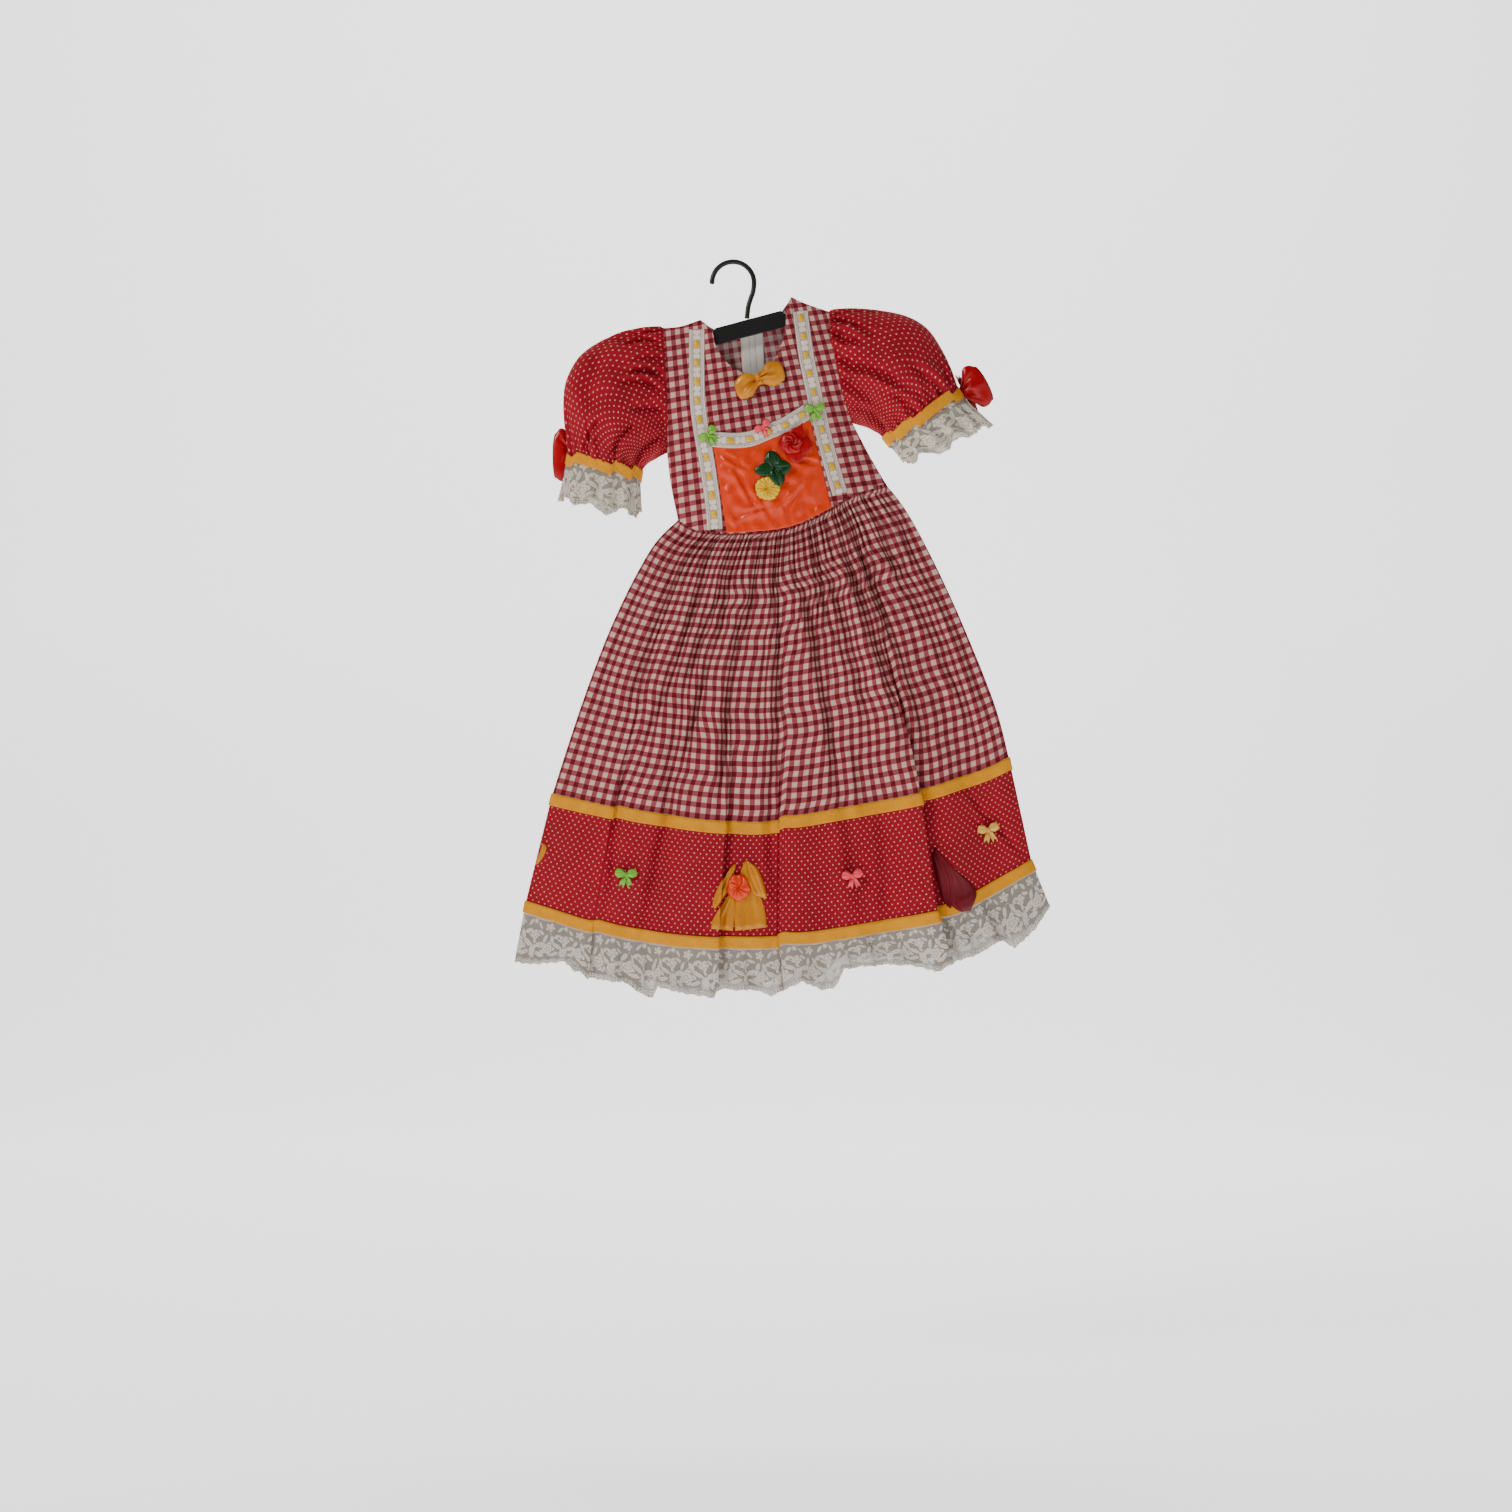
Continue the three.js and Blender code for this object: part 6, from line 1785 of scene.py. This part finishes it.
grids = [
    gathered_disc(rose_seat, 14.0, 4.6, 9, 0.5, 0.035, 1.16, 0.45, 3),
    petal(rose_seat + (1, -1.2, 3), 96, 9, 4.2, 3.0, 4),
    petal(rose_seat + (1, -1.2, -2), 262, 9, 5.0, 2.6, 6),
]
ribbon_piece("orange_rosette", grids, "orange", "flower_band", 15)
grids = [
    drape([(241, -721), (244.2, -738), (248.3, -758), (253.4, -774.5), (262, -784)],
          [(245, -711.5), (257.4, -725.7), (266, -744), (267, -764), (264, -784)],
          [(0.25, 0.1, 1.6, 0.8), (0.62, 0.12, 2.2, 0.7), (0.92, 0.08, 1.4, 0.5)], 1.6),
    drape([(252, -719), (262, -744), (262.5, -765), (265, -781), (277, -789)],
          [(254, -721), (269.6, -738), (285.8, -751), (295.5, -766), (288, -787)],
          [(0.12, 0.08, 1.8, 0.8), (0.4, 0.16, 1.2, 0.6), (0.78, 0.2, 1.0, 0.4)], 1.4),
]
ribbon_piece("wine_bow_band", grids, "wine", "bow_band_wine", 38)
grids = [
    drape([(-232, -708), (-236, -718), (-240, -727), (-241, -732)],
          [(-228.5, -708), (-227.5, -713), (-231, -722), (-238, -732)], [(0.5, 0.3, 1.6, 0.8)], 0.8),
    drape([(-234, -706), (-233, -713), (-236, -722), (-240, -730)],
          [(-230, -707), (-229, -712), (-231.5, -718), (-236, -726)], [(0.4, 0.2, 1.2, 0.9)], 2.2),
]
ribbon_piece("side_bow_band", grids, "yellow", "bow_band_left", 12)

# %% [markdown]
# The flowers on the pocket are a rose with a pointed petal, a four-petalled leafy knot and a
# yo-yo, a gathered circle of ribbon. Each is drawn up by a thread through its middle.

# %% Flowers
red_seat = np.array([72.5, seat_of(pocket_tree, 73, -222, 9) - 0.6, -222.5])
grids = [
    petal(red_seat + (2, -0.6, 2), 68, 23, 10, 1.4, 11, 0.75, 0.4),
    petal(red_seat + (2, -0.4, 0), -8, 21, 13, 1.6, 12, 0.1, 0.5),
    petal(red_seat + (0, -0.3, -2), -68, 21, 12, 1.4, 13, 0.1, 0.5),
    petal(red_seat + (-1, -0.5, 0), 165, 17, 13, 1.4, 14, 0.0, 0.5),
    gathered_disc(red_seat + (-1.5, -1.4, 0.5), 13.0, 4.2, 6, 2.2, 0.05, 1.02, 0.2, 5),
]
ribbon_piece("red_rose", grids, "red", "flower_red", 25)
green_seat = np.array([50.5, seat_of(pocket_tree, 51, -254, 12) - 0.5, -252.5])
grids = [
    petal(green_seat, 104, 22, 10.2, 3.8, 21, crease_depth=1.9),
    petal(green_seat + (0, -0.8, 0), 188, 24.5, 8.0, 3.2, 22, crease_depth=1.7),
    petal(green_seat + (0, -0.5, 0), 6, 19.5, 9.6, 3.8, 23, crease_depth=1.9),
    petal(green_seat + (0, -1.1, 0), -72, 22.5, 9.2, 3.4, 24, crease_depth=1.8),
]
ribbon_piece("green_flower", grids, "green", "flower_green", 20)
yellow_seat = np.array([42.0, seat_of(pocket_tree, 42, -280, 8) - 1.0, -276.5])
grids = [gathered_disc(yellow_seat, 15.0, 3.2, 15, 0.0, 0.03, 0.96, 0.85, 12)]
ribbon_piece("yellow_flower", grids, "bright_yellow", "flower_yellow", 29)

# %% [markdown]
# A broad bow of red satin is tied to the outer side of each cuff, behind the fold of the sleeve.
# One loop stands out to the side, where it shows past the sleeve, and the other points back.

# %% Cuff bows
BIG_LOOP, BACK_LOOP = (49, 41), (41, 33)
left_knot = np.array([-195.5, 10.0, -231.0])
up = (0, 0, 1)
grids = [
    loop(left_knot, (-0.98, -0.12, 0.0), up, (-0.12, -0.98, 0), 24.5, 32, 10, 31, BIG_LOOP, 1.5, 0.3),
    loop(left_knot, (-0.45, 0.85, 0.05), up, (-0.85, -0.45, 0), 15, 28, 7, 32, BACK_LOOP, 1.3, 0.3),
    knot(left_knot, (-0.8, 0.6, 0), up, (-0.6, -0.8, 0), 9, 16, 7),
]
ribbon_piece("cuff_bow_left", grids, "red", "bow_cuff_left", 60)
right_knot = np.array([280.5, 10.0, -156.0])
up = (-0.47, 0, 0.88)
grids = [
    loop(right_knot, (0.88, -0.1, 0.47), up, (0.1, -0.99, 0), 32, 27.5, 10, 34, BIG_LOOP, 1.5, 0.3),
    loop(right_knot, (0.4, 0.85, 0.2), up, (0.85, -0.4, 0), 15, 25, 7, 35, BACK_LOOP, 1.3, 0.3),
    knot(right_knot, (0.8, 0.6, 0.3), up, (0.6, -0.8, 0), 9, 16, 7),
]
ribbon_piece("cuff_bow_right", grids, "red", "bow_cuff_right", 54)

# %% [markdown]
# The hanger is a moulded black bar with sloping arms inside the shoulders, and a hook of dark
# wire. Nothing is printed on the bar. The wire is swept again with a round section.

# %% Hanger
plastic = plain_finish("hanger_plastic", 30, (10, 10, 10), (20, 19, 19), 0.8, 0.04, Roughness=0.38)
softened("bar_moulding", "hanger_bar", BODY, plastic, 1.2)

HOOK_RADIUS = 25.6
WIRE = 3.1
angles = np.radians(np.linspace(185, -10, 60))
bend = [(HOOK_RADIUS * math.cos(a), WIRE - HOOK_RADIUS + HOOK_RADIUS * math.sin(a)) for a in angles]
hook_path = curve_through(bend[::4] + [(24.5, -33), (21.5, -42), (18.6, -52), (16.9, -66.2)])
t = np.linspace(0, 1, 150)
line = hook_path(t)
ahead = unit(np.gradient(line, axis=0))
side_way = np.stack([-ahead[:, 1], ahead[:, 0]], -1)
around = np.linspace(0, 2 * math.pi, 25)[None, :-1]
radius = WIRE * np.sqrt(np.clip(1 - (1 - np.minimum(t * 60, 1)) ** 2, 0.02, 1))[:, None]
hook = np.stack([line[:, :1] + side_way[:, :1] * radius * np.cos(around), radius * np.sin(around),
                 line[:, 1:] + side_way[:, 1:] * radius * np.cos(around)], -1)
rows, columns = hook.shape[:2]
ring_next = [(c, (c + 1) % columns) for c in range(columns)]
faces = [(r * columns + c, r * columns + d, (r + 1) * columns + d, (r + 1) * columns + c)
         for r in range(rows - 1) for c, d in ring_next]
faces += [list(range(columns))[::-1], [(rows - 1) * columns + c for c in range(columns)]]
piece = mesh_object("hook_sweep", hook.reshape(-1, 3) * MM, faces)
wire = plain_finish("hook_wire", 6, (28, 27, 26), (48, 46, 44), Metallic=0.6, Roughness=0.35)
piece.data.materials.append(wire)
keep("hook_sweep", piece, ["hanger_hook"])
for shape in ("dash_shape", "stitch_shape", "tooth_shape"):
    bpy.data.objects.remove(bpy.data.objects[shape])
print("pieces", len(made))

# %% [markdown]
# Every piece rides on a body and takes the place of its solid.

# %% Ride and stand for the solids
# The bodice is cut with armholes and a neck, so its own area is measured; the rest are rectangles.
bodice_areas = {name: cloth_area(grid) * MM * MM for name, grid in kept.items() if name.startswith("bodice")}
for name, piece in made.items():
    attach(piece, piece["body"])
    if len(piece["stands_for"]):
        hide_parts(*piece["stands_for"])
    name in flat_sizes
